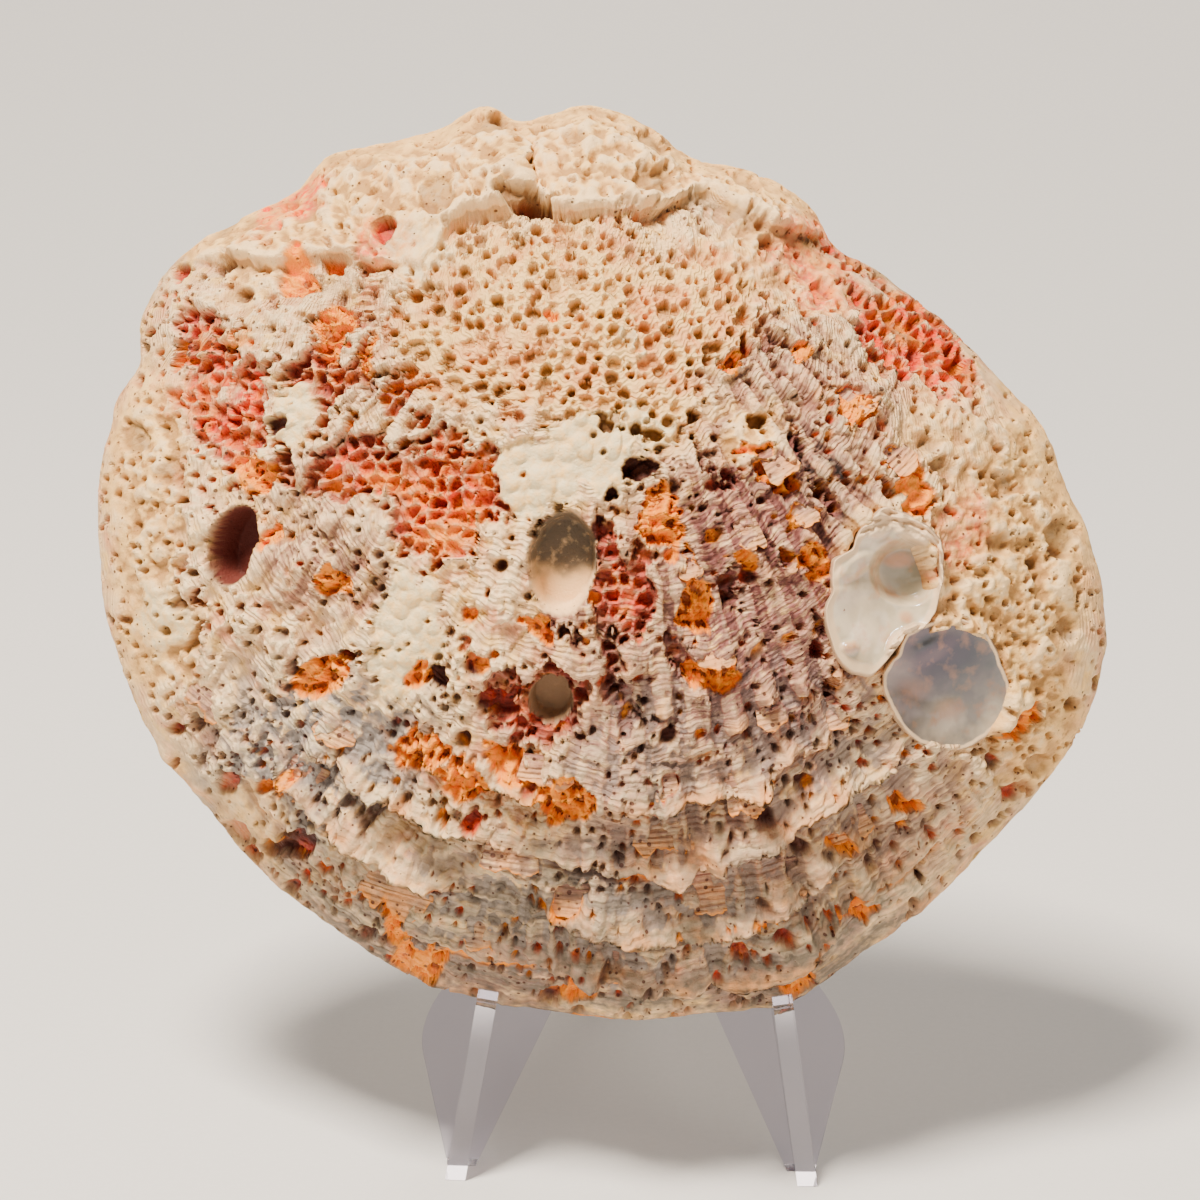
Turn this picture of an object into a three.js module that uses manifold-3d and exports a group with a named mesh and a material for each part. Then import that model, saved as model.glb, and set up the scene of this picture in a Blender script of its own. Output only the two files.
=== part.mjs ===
// One worn valve of a large spiny oyster, with two small pearly shells cemented to it,
// leaning on a clear moulded easel. Millimetres, +Z up, the sculptured outside faces -Y.
// The valve is laid out in its own plane: x right, y up along the valve, z out of its
// outside. leaned() then tips that plane back onto the easel.
import * as THREE from 'three';
import { mergeVertices } from 'three/addons/utils/BufferGeometryUtils.js';
import Module from 'manifold-3d';

const wasm = await Module();
wasm.setup();

// Driving dimensions of the valve, in mm
const LEAN = THREE.MathUtils.degToRad(18);
const DOME_HEIGHT = 40;
const MARGIN_THICKNESS = 6;
const WALL_THICKNESS = 8;
const DOME_ROUNDNESS = 2.2;
const DOME_FALL = 0.8;
const APEX = new THREE.Vector2(0, 12);
const TOUCH_GAP = 0.3;

// Driving dimensions of the easel, in mm
const STAND_X = 5.8;
const FOOT_Y = -92;
const PANEL_THICKNESS = 2.5;
const RIB_THICKNESS = 3;
const RIB_SLANT = THREE.MathUtils.degToRad(9.2);
const SHELF_Y = -65.6;
const SHELF_DEPTH = 11;
const LIP_THICKNESS = 2.5;
const LIP_HEIGHT = 1.8;
const STRUT_THICKNESS = 3;

// How finely the natural surfaces are cut into facets
const SECTORS = 108;
const OUTER_RINGS = 19;
const INNER_RINGS = 9;
const CUP_SECTORS = 26;
const CUP_RINGS = 5;

// The valve's broken, overgrown margin, anticlockwise from its right edge
const MARGIN = [
  [75.3, -10], [73, 4], [69.2, 12], [65.5, 21], [59.5, 27.5], [50.5, 36.5], [41, 43.5],
  [34, 47.5], [29.5, 54], [21.5, 58.5], [12, 60.5], [6, 65], [-2.7, 68.2], [-9, 66.8],
  [-14, 65.6], [-19, 67.8], [-26, 64], [-34, 62], [-42, 60], [-47, 54.5], [-57, 49.5],
  [-65, 43.5], [-69.5, 36], [-70, 28.5], [-73.5, 22], [-75.8, 8], [-74.8, -6],
  [-72.5, -15], [-67, -27.5], [-60.5, -35.5], [-53, -44.5], [-45, -51], [-36, -57.5],
  [-27, -62.5], [-16.4, -65], [-8, -67], [5.6, -68.4], [15, -67.4], [23, -66.4],
  [30, -64.8], [40.5, -57], [48, -51.5], [54, -45.5], [61.7, -37.5], [68, -30], [73, -21.5],
];

// Lower edge of the thick crust that roofs the hinge end
const CRUST_EDGE = [
  [-80, 48], [-48.5, 41.5], [-42.5, 42.6], [-34, 42], [-27, 42], [-22.4, 47.7], [-12.2, 52],
  [-6.8, 50], [6.7, 50.7], [14.2, 53.5], [23.2, 49.2], [39, 50.4], [80, 68],
];

// Holes left by boring mussels: centre, half width, half height, depth
const BORES = [
  { x: -54, y: 1.2, across: 3.3, up: 5.8, depth: 4.5 },
  { x: -5.8, y: -0.8, across: 4.7, up: 7.2, depth: 4.5 },
  { x: -7.3, y: -20.5, across: 3.2, up: 3.2, depth: 4 },
  { x: -44.1, y: -41.8, across: 3, up: 3, depth: 4 },
];

// The two cemented shells: centre, half sizes, turn of the long axis, rim height
const UPPER_CUP = { x: 41, y: -4.4, across: 8, along: 11.6, turn: 0.12, rim: 3.6 };
const LOWER_CUP = { x: 50.6, y: -17.6, across: 9.4, along: 9.4, turn: 0, rim: 3 };

// 0 at from, 1 at to, smooth between, in either direction
function smoothstep(from, to, value) {
  const part = THREE.MathUtils.clamp((value - from) / (to - from), 0, 1);
  return part * part * (3 - 2 * part);
}

// Straight-line reading of a list of points at one x
function readAlong(points, x) {
  const next = points.findIndex((point) => point[0] > x);
  if (next <= 0) {
    return next === 0 ? points[0][1] : points[points.length - 1][1];
  }
  const [x0, y0] = points[next - 1];
  const [x1, y1] = points[next];
  return THREE.MathUtils.lerp(y0, y1, (x - x0) / (x1 - x0));
}

// Distance from the apex to the margin in every direction
function marginReader() {
  const knots = MARGIN.map(([x, y]) => new THREE.Vector3(x, y, 0));
  const curve = new THREE.CatmullRomCurve3(knots, true, 'centripetal');
  const table = curve.getPoints(900).map((point) => {
    const angle = Math.atan2(point.y - APEX.y, point.x - APEX.x);
    return [angle, Math.hypot(point.x - APEX.x, point.y - APEX.y)];
  });
  table.sort((first, second) => first[0] - second[0]);
  const before = [table.at(-1)[0] - 2 * Math.PI, table.at(-1)[1]];
  const after = [table[0][0] + 2 * Math.PI, table[0][1]];
  const closed = [before, ...table, after];
  return (angle) => readAlong(closed, Math.atan2(Math.sin(angle), Math.cos(angle)));
}

const marginReach = marginReader();

// 1 at the apex, 0 at the margin
function domeProfile(reach) {
  return Math.pow(Math.max(0, 1 - Math.pow(Math.min(reach, 1), DOME_ROUNDNESS)), DOME_FALL);
}

function reachAt(x, y) {
  const angle = Math.atan2(y - APEX.y, x - APEX.x);
  return Math.hypot(x - APEX.x, y - APEX.y) / marginReach(angle);
}

// Slow swells of the grown surface, about 1 mm high
function swell(x, y) {
  const broad = Math.sin(0.19 * x + 0.07 * y + 0.6) * Math.cos(0.16 * y - 0.05 * x);
  const tight = Math.sin(0.43 * x - 0.2 * y) * Math.sin(0.37 * y + 1.1);
  return 0.7 * broad + 0.35 * tight;
}

// Thick knobbly crust over the hinge end, ending in a broken step
function crust(x, y) {
  const above = y - readAlong(CRUST_EDGE, x);
  const knobs = 1 + 0.35 * Math.sin(0.55 * x) * Math.cos(0.5 * y + 0.4);
  return 3.2 * smoothstep(-0.5, 2.2, above) * knobs;
}

// Frilled growth ledges across the lower third
function growthLedges(reach, y) {
  const lower = smoothstep(-18, -34, y);
  const steps = [0.74, 0.84, 0.93].map((edge) => smoothstep(edge, edge - 0.05, reach) * 0.9);
  return lower * (steps.reduce((sum, step) => sum + step, 0) - 1.2);
}

function boreDepth(x, y) {
  return BORES.reduce((sum, bore) => {
    const from = Math.hypot((x - bore.x) / bore.across, (y - bore.y) / bore.up);
    return sum + bore.depth * smoothstep(1.15, 0.55, from);
  }, 0);
}

// The seats of the cemented shells are smooth
function seatCalm(x, y) {
  return [UPPER_CUP, LOWER_CUP].reduce((calm, cup) => {
    const from = Math.hypot(x - cup.x, y - cup.y);
    return calm * smoothstep(cup.along + 1, cup.along + 6, from);
  }, 1);
}

// Height of the valve's outside above the plane of its margin
function outsideHeight(x, y) {
  const reach = reachAt(x, y);
  const dome = MARGIN_THICKNESS + (DOME_HEIGHT - MARGIN_THICKNESS) * domeProfile(reach);
  const relief = swell(x, y) * seatCalm(x, y) + crust(x, y) + growthLedges(reach, y);
  return dome + relief * smoothstep(1.02, 0.9, reach) - boreDepth(x, y);
}

// Height of the hollow inside, flat over the thick hinge plate
function insideHeight(x, y) {
  const hollow = (DOME_HEIGHT - WALL_THICKNESS) * domeProfile(Math.min(1, reachAt(x, y) / 0.96));
  const plate = smoothstep(38, 47, y) * smoothstep(36, 26, Math.abs(x));
  return THREE.MathUtils.lerp(hollow, 1.5, plate) + 0.02;
}

// Closed body from rings of points that start and end at single points
function ringBody(start, rings, end) {
  const count = rings[0].length;
  const points = [start, ...rings.flat(), end];
  const faces = [];
  for (let i = 0; i < count; i += 1) {
    const next = (i + 1) % count;
    faces.push(0, 1 + i, 1 + next);
    for (let ring = 0; ring + 1 < rings.length; ring += 1) {
      const a = 1 + ring * count;
      const b = a + count;
      faces.push(a + i, b + i, b + next, a + i, b + next, a + next);
    }
    const last = 1 + (rings.length - 1) * count;
    faces.push(last + i, points.length - 1, last + next);
  }
  const geometry = new THREE.BufferGeometry();
  geometry.setAttribute('position', new THREE.Float32BufferAttribute(points.flat(), 3));
  geometry.setIndex(faces);
  return geometry;
}

function valveRing(reach, heightAt) {
  return Array.from({ length: SECTORS }, (_, i) => {
    const angle = (i / SECTORS) * 2 * Math.PI;
    const radius = marginReach(angle) * reach;
    const x = APEX.x + radius * Math.cos(angle);
    const y = APEX.y + radius * Math.sin(angle);
    return [x, y, heightAt(x, y)];
  });
}

function valveGeometry() {
  const outer = Array.from({ length: OUTER_RINGS }, (_, i) => {
    return valveRing(Math.pow((i + 1) / OUTER_RINGS, 0.8), outsideHeight);
  });
  const edge = valveRing(1, () => 1);
  const inner = Array.from({ length: INNER_RINGS }, (_, i) => {
    return valveRing(0.985 * Math.pow(1 - i / INNER_RINGS, 0.8), insideHeight);
  });
  const top = [APEX.x, APEX.y, outsideHeight(APEX.x, APEX.y)];
  const bottom = [APEX.x, APEX.y, insideHeight(APEX.x, APEX.y)];
  return ringBody(top, [...outer, edge, ...inner], bottom);
}

// Outline of a cemented shell, with the uneven rim such shells grow
function cupRing(cup, size, heightAt) {
  return Array.from({ length: CUP_SECTORS }, (_, i) => {
    const angle = (i / CUP_SECTORS) * 2 * Math.PI;
    const uneven = 1 + 0.05 * Math.sin(3 * angle + 1) + 0.03 * Math.sin(5 * angle);
    const along = new THREE.Vector2(
      cup.across * uneven * size * Math.cos(angle),
      cup.along * uneven * size * Math.sin(angle),
    ).rotateAround(new THREE.Vector2(), cup.turn);
    const x = cup.x + along.x;
    const y = cup.y + along.y;
    return [x, y, heightAt(x, y)];
  });
}

// A thin bowl standing on the valve: seat below, hollow above, margin raised
function cupGeometry(cup) {
  const seat = (x, y) => outsideHeight(x, y) + 2 * TOUCH_GAP;
  const floor = (size) => (x, y) => seat(x, y) + 0.9 + (cup.rim - 0.9) * Math.pow(size, 3);
  const hollow = Array.from({ length: CUP_RINGS }, (_, i) => {
    const size = (i + 1) / CUP_RINGS;
    return cupRing(cup, 0.92 * size, floor(size));
  });
  const rim = cupRing(cup, 1, (x, y) => seat(x, y) + cup.rim - 0.4);
  const foot = Array.from({ length: CUP_RINGS }, (_, i) => {
    return cupRing(cup, 0.97 * (1 - i / CUP_RINGS), seat);
  });
  const middle = [cup.x, cup.y, floor(0)(cup.x, cup.y)];
  const under = [cup.x, cup.y, seat(cup.x, cup.y)];
  return ringBody(middle, [...hollow, rim, ...foot], under);
}

// Front panel of the easel: two splayed feet under one tall rounded back-rest
function panelShape() {
  const shape = new THREE.Shape();
  shape.moveTo(24.6, FOOT_Y - 2);
  shape.lineTo(28, FOOT_Y - 2);
  shape.lineTo(28, FOOT_Y + 0.6);
  shape.lineTo(31.9, -75.2);
  shape.quadraticCurveTo(33, -70, 28.3, -64.2);
  shape.lineTo(18, -46);
  shape.quadraticCurveTo(13, -37, 12.5, -24);
  shape.lineTo(11, 38);
  shape.absarc(0, 38, 11, 0, Math.PI, false);
  shape.lineTo(-12.5, -24);
  shape.quadraticCurveTo(-13, -37, -18, -46);
  shape.lineTo(-28.3, -64.2);
  shape.quadraticCurveTo(-33, -70, -31.9, -75.2);
  shape.lineTo(-28, FOOT_Y + 0.6);
  shape.lineTo(-28, FOOT_Y - 2);
  shape.lineTo(-24.6, FOOT_Y - 2);
  shape.lineTo(-2.5, -47);
  shape.quadraticCurveTo(0, -42, 2.5, -47);
  return shape;
}

// Rib on one foot, seen from its side: x is out of the panel, y is up the rib
function ribShape() {
  const lipFront = SHELF_DEPTH + LIP_THICKNESS;
  const shape = new THREE.Shape();
  shape.moveTo(-1, FOOT_Y - 3);
  shape.lineTo(4.3, FOOT_Y - 3);
  shape.lineTo(8, FOOT_Y + 8.6);
  shape.lineTo(lipFront, SHELF_Y + 0.6);
  shape.lineTo(lipFront - 0.4, SHELF_Y + LIP_HEIGHT);
  shape.lineTo(SHELF_DEPTH + 0.3, SHELF_Y + LIP_HEIGHT);
  shape.lineTo(SHELF_DEPTH, SHELF_Y);
  shape.lineTo(-1, SHELF_Y);
  return shape;
}

function extruded(shape, depth) {
  const settings = { depth, bevelEnabled: false, curveSegments: 10 };
  return new THREE.ExtrudeGeometry(shape, settings);
}

// From the valve's own plane to the world, tipped back with the feet on the floor
function leaned(geometry) {
  return geometry.rotateX(Math.PI / 2 - LEAN);
}

const FLOOR_Z = FOOT_Y * Math.cos(LEAN) - TOUCH_GAP * Math.sin(LEAN);

// Where a point of the valve's plane ends up, in the side view (world y, z)
function sidePoint(y, z) {
  const depth = y * Math.sin(LEAN) - z * Math.cos(LEAN);
  return new THREE.Vector2(depth, y * Math.cos(LEAN) + z * Math.sin(LEAN));
}

function toSolid(geometry) {
  const bare = geometry.clone();
  bare.deleteAttribute('normal');
  bare.deleteAttribute('uv');
  const merged = mergeVertices(bare, 1e-4);
  return new wasm.Manifold(new wasm.Mesh({
    numProp: 3,
    vertProperties: new Float32Array(merged.attributes.position.array),
    triVerts: new Uint32Array(merged.index.array),
  }));
}

function toGeometry(solid) {
  const mesh = solid.getMesh();
  const geometry = new THREE.BufferGeometry();
  const position = new THREE.Float32BufferAttribute(mesh.vertProperties, 3);
  geometry.setAttribute('position', position);
  geometry.setIndex(Array.from(mesh.triVerts));
  return geometry;
}

// Everything below the floor is cut off, which leaves flat soles
function cutAtFloor(solid) {
  const below = new THREE.BoxGeometry(200, 200, 40).translate(0, 0, FLOOR_Z - 20);
  return solid.subtract(toSolid(below));
}

function ribGeometry(side) {
  const rib = extruded(ribShape(), RIB_THICKNESS);
  rib.translate(0, 0, -RIB_THICKNESS / 2);
  rib.rotateY(-Math.PI / 2);
  rib.translate(0, -FOOT_Y, 0);
  rib.rotateZ(side * RIB_SLANT);
  rib.translate(STAND_X + side * 26.3, FOOT_Y, -TOUCH_GAP);
  return leaned(rib);
}

function easelGeometry() {
  const panel = extruded(panelShape(), PANEL_THICKNESS);
  panel.translate(STAND_X, 0, -TOUCH_GAP - PANEL_THICKNESS);
  const solid = toSolid(leaned(panel)).add(toSolid(ribGeometry(-1))).add(toSolid(ribGeometry(1)));
  return toGeometry(cutAtFloor(solid));
}

// Back leg: a flat strut standing on edge behind the panel, in the side view
function strutShape() {
  const behind = -2 * TOUCH_GAP - PANEL_THICKNESS;
  const high = sidePoint(26, behind);
  const low = sidePoint(-34, behind);
  const shape = new THREE.Shape();
  shape.moveTo(low.x, low.y);
  shape.quadraticCurveTo(26, FLOOR_Z + 46, 46, FLOOR_Z);
  shape.lineTo(58, FLOOR_Z);
  shape.quadraticCurveTo(38, FLOOR_Z + 70, high.x, high.y);
  return shape;
}

function strutGeometry() {
  const strut = extruded(strutShape(), STRUT_THICKNESS);
  strut.translate(0, 0, -STRUT_THICKNESS / 2);
  strut.rotateX(Math.PI / 2);
  strut.rotateZ(Math.PI / 2);
  return strut.translate(STAND_X, 0, 0);
}

function piece(name, geometry, finish) {
  const mesh = new THREE.Mesh(geometry, new THREE.MeshStandardMaterial(finish));
  mesh.name = name;
  return mesh;
}

// The lower shell is overlapped by the upper one, and stops just short of it
function cupPieces() {
  const pearl = { color: 0xdcd8cf, roughness: 0.25, metalness: 0 };
  const upper = cupGeometry(UPPER_CUP);
  const grown = { ...UPPER_CUP, across: UPPER_CUP.across + 0.35, along: UPPER_CUP.along + 0.35 };
  const taller = cupGeometry({ ...grown, rim: 8 });
  const cutter = toSolid(taller).add(toSolid(taller.clone().translate(0, 0, -2)));
  const lower = toGeometry(toSolid(cupGeometry(LOWER_CUP)).subtract(cutter));
  return [piece('upper_cup_shell', leaned(upper), pearl), piece('lower_cup_shell', leaned(lower), pearl)];
}

const shellFinish = { color: 0xcdb9a6, roughness: 0.85, metalness: 0 };
const clearFinish = { color: 0xe8e6f0, roughness: 0.05, metalness: 0 };

const object = new THREE.Group();
object.add(piece('shell_valve', leaned(valveGeometry()), shellFinish));
object.add(...cupPieces());
object.add(piece('stand_front', easelGeometry(), clearFinish));
object.add(piece('stand_back_leg', strutGeometry(), clearFinish));

// The frame's origin is under the middle of the whole object, on the floor
const bounds = new THREE.Box3().setFromObject(object);
const middle = bounds.getCenter(new THREE.Vector3());
object.position.set(-middle.x, -middle.y, -bounds.min.z);

export default object;
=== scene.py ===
"""Looks of a large worn spiny oyster valve leaning on a clear moulded easel.

The valve is laid out in its own plane, in millimetres: x right, y up along the valve, z out of
its sculptured outside. LeaningPlane takes those places to the frame's metres.
"""

import logging
import math
from dataclasses import dataclass, field
from enum import Enum

import bpy
import numpy as np
from mathutils import Matrix, Vector


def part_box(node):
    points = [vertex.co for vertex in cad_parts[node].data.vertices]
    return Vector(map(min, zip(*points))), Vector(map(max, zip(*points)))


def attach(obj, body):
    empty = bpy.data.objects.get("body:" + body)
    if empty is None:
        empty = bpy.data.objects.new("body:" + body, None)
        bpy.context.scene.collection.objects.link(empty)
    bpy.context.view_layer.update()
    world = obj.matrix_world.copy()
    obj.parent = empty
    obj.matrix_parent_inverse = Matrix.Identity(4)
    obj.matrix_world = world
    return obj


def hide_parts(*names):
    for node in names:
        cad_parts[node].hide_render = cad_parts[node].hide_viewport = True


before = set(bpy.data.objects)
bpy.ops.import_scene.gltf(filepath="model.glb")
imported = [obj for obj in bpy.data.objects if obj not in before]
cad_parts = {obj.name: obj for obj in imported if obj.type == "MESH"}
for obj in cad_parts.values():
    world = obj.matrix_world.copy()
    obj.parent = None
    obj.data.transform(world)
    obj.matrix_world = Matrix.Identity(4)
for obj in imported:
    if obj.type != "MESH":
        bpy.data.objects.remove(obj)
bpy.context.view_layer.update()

MM = 0.001
LOG = logging.getLogger("spiny_oyster")

# Where the valve is looked at from: straight over this place in its plane, in mm
VIEW_DISTANCE = 600.0
VIEW_X = -0.45
VIEW_Y = -5.8


# --------------------------------------------------------------------------- seeded patterns


def scatter(column: np.ndarray, row: np.ndarray, seed: int) -> np.ndarray:
    """Gives one repeatable number for each whole-numbered place.

    Args:
        column: Whole numbers across.
        row: Whole numbers up.
        seed: Picks an independent set of numbers.

    Returns:
        Numbers from 0 to 1, of the same shape.
    """
    mixed = (column * 374761393 + row * 668265263 + seed * 974634777) & 0xFFFFFFFF
    mixed = ((mixed ^ (mixed >> 13)) * 1274126177) & 0xFFFFFFFF
    return ((mixed ^ (mixed >> 16)) & 0xFFFFFF) / float(0xFFFFFF)


def ease(start: float, stop: float, value: np.ndarray) -> np.ndarray:
    """Rises smoothly from 0 at start to 1 at stop, in either direction.

    Args:
        start: Where the result is 0.
        stop: Where the result is 1.
        value: What is read.

    Returns:
        Numbers from 0 to 1.
    """
    part = np.clip((value - start) / (stop - start), 0.0, 1.0)
    return part * part * (3.0 - 2.0 * part)


def drift(x: np.ndarray, y: np.ndarray, size: float, seed: int) -> np.ndarray:
    """Soft random hills and hollows of one size.

    Args:
        x: Places across, in mm.
        y: Places up, in mm.
        size: Distance between neighbouring hills, in mm.
        seed: Picks the pattern.

    Returns:
        Heights from -1 to 1.
    """
    across, up = x / size, y / size
    column, row = np.floor(across).astype(np.int64), np.floor(up).astype(np.int64)
    part_x, part_y = across - column, up - row
    part_x, part_y = part_x**2 * (3 - 2 * part_x), part_y**2 * (3 - 2 * part_y)
    low = scatter(column, row, seed) * (1 - part_x) + scatter(column + 1, row, seed) * part_x
    high = (
        scatter(column, row + 1, seed) * (1 - part_x)
        + scatter(column + 1, row + 1, seed) * part_x
    )
    return 2.0 * (low * (1 - part_y) + high * part_y) - 1.0


def rough(x: np.ndarray, y: np.ndarray, size: float, seed: int, layers: int = 4) -> np.ndarray:
    """Adds up drifts of ever smaller size, as on broken or grown rock.

    Args:
        x: Places across, in mm.
        y: Places up, in mm.
        size: Size of the largest hills, in mm.
        seed: Picks the pattern.
        layers: How many sizes are added.

    Returns:
        Heights of about -1 to 1.
    """
    total = np.zeros_like(x)
    for layer in range(layers):
        turned_x = 0.8 * x - 0.6 * y + 17.0 * layer
        turned_y = 0.6 * x + 0.8 * y
        x, y = turned_x, turned_y
        total += drift(x, y, size / 2**layer, seed + layer) / 2**layer
    return total / 1.6


@dataclass
class Cells:
    """The nearest seed point to each place, out of a jittered grid of seed points.

    near and second are the distances in mm to the nearest two, and pick and odds are two
    random numbers that belong to the nearest one.
    """

    near: np.ndarray
    second: np.ndarray
    pick: np.ndarray
    odds: np.ndarray


def cells(x: np.ndarray, y: np.ndarray, size: float, seed: int) -> Cells:
    """Finds the nearest seed points.

    Args:
        x: Places across, in mm.
        y: Places up, in mm.
        size: Spacing of the seed points, in mm.
        seed: Picks the pattern.

    Returns:
        The nearest cells.
    """
    across, up = x / size, y / size
    column, row = np.floor(across).astype(np.int64), np.floor(up).astype(np.int64)
    near = np.full(x.shape, 9.0)
    second = np.full(x.shape, 9.0)
    pick = np.zeros(x.shape)
    odds = np.zeros(x.shape)
    for step_x in (-1, 0, 1):
        for step_y in (-1, 0, 1):
            cell_x, cell_y = column + step_x, row + step_y
            point_x = cell_x + 0.5 + 0.8 * (scatter(cell_x, cell_y, seed) - 0.5)
            point_y = cell_y + 0.5 + 0.8 * (scatter(cell_x, cell_y, seed + 1) - 0.5)
            away = np.hypot(across - point_x, up - point_y)
            closer = away < near
            second = np.where(closer, near, np.minimum(second, away))
            pick = np.where(closer, scatter(cell_x, cell_y, seed + 2), pick)
            odds = np.where(closer, scatter(cell_x, cell_y, seed + 3), odds)
            near = np.where(closer, away, near)
    return Cells(near * size, second * size, pick, odds)


# --------------------------------------------------------------------------- node materials

Socket = bpy.types.NodeSocket
# A hex colour, or the socket of a mixed one
Colour = str | Socket
# A number, a socket, or a socket with the values that it is stretched between
Part = float | Socket | tuple[float | Socket, ...]
# The weights and patterns that a material reads, by name
Carried = dict[str, Socket]


def linear(hex_colour: str) -> tuple[float, float, float, float]:
    """Turns an sRGB hex colour into the linear colour that a shader takes.

    Args:
        hex_colour: Six hex digits after a hash sign.

    Returns:
        Linear red, green, blue and an alpha of 1.
    """
    parts = [int(hex_colour[i : i + 2], 16) / 255.0 for i in (1, 3, 5)]
    red, green, blue = (c / 12.92 if c <= 0.04045 else ((c + 0.055) / 1.055) ** 2.4 for c in parts)
    return (red, green, blue, 1.0)


def add_node(
    tree: bpy.types.NodeTree,
    kind: str,
    settings: dict[str, object] | None = None,
    inputs: dict[str | int, object] | None = None,
) -> bpy.types.Node:
    """Adds one node with its settings, socket values and incoming links.

    Args:
        tree: The material's node tree.
        kind: The node's type name.
        settings: Attributes set on the node.
        inputs: Socket name or number to a value, or to the socket that feeds it.

    Returns:
        The new node.
    """
    node = tree.nodes.new(kind)
    for name, value in (settings or {}).items():
        setattr(node, name, value)
    for name, value in (inputs or {}).items():
        if isinstance(value, Socket):
            tree.links.new(value, node.inputs[name])
        else:
            node.inputs[name].default_value = value
    return node


def product(tree: bpy.types.NodeTree, *parts: Part) -> Socket | float:
    """Multiplies parts of a pattern with each other.

    Args:
        tree: The material's node tree.
        parts: Numbers, sockets, or a socket with the two values that are stretched to 0 and 1,
            or to the third and fourth values where they are given.

    Returns:
        The socket of the product, or the number itself where there is only that.
    """
    result: Socket | float = 1.0
    for number, part in enumerate(parts):
        if isinstance(part, tuple):
            values = dict(enumerate(part + (0.0, 1.0)[: 5 - len(part)]))
            part = add_node(tree, "ShaderNodeMapRange", {"clamp": True}, values).outputs[0]
        if number:
            part = add_node(
                tree, "ShaderNodeMath", {"operation": "MULTIPLY"}, {0: result, 1: part}
            ).outputs[0]
        result = part
    return result


def lay_coats(
    tree: bpy.types.NodeTree, base: Colour, coats: list[tuple[Colour | Part, ...]]
) -> Socket:
    """Lays coats of colour over a base, in order.

    Args:
        tree: The material's node tree.
        base: The colour under them all.
        coats: For each coat its colour, then the parts whose product is how well it covers.

    Returns:
        The socket of the mixed colour.
    """
    for cover, *parts in coats:
        under, over = (c if isinstance(c, Socket) else linear(c) for c in (base, cover))
        values = {"Factor": product(tree, *parts), 6: under, 7: over}
        base = add_node(tree, "ShaderNodeMix", {"data_type": "RGBA"}, values).outputs[2]
    return base


class Tint(str, Enum):
    """Colours of the growths and layers, as they look dry in daylight."""

    # Painted highlight colour, laid on the crests of the relief
    IVORY = "#FFE4B4"
    CHALK = "#FAD29C"
    BONE = "#FFCE7E"
    CRUST = "#F5BE72"
    CRUST_SHADE = "#AC7A40"
    PLASTER = "#EED8A8"
    PEACH = "#F8AE6A"
    MAUVE = "#A2645A"
    PLUM = "#653631"
    SOOT = "#2E211E"
    GREY_LILAC = "#9C9189"
    ROSE = "#E89A6C"
    CORAL = "#F8460A"
    DEEP_RED = "#B5301A"
    DRIED_RED = "#63291F"
    ORANGE = "#FF9812"
    RUST = "#D9640C"
    TAN = "#BE9054"
    # Painted shade colour: darkens the valve towards the bottom and the bores' upper inside walls
    SILT = "#6F6353"
    # Dark pit colour: partly the borings' stain, partly painted shade
    PIT = "#4C2218"
    EMBER = "#F88C28"
    WINE = "#95504A"


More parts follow.
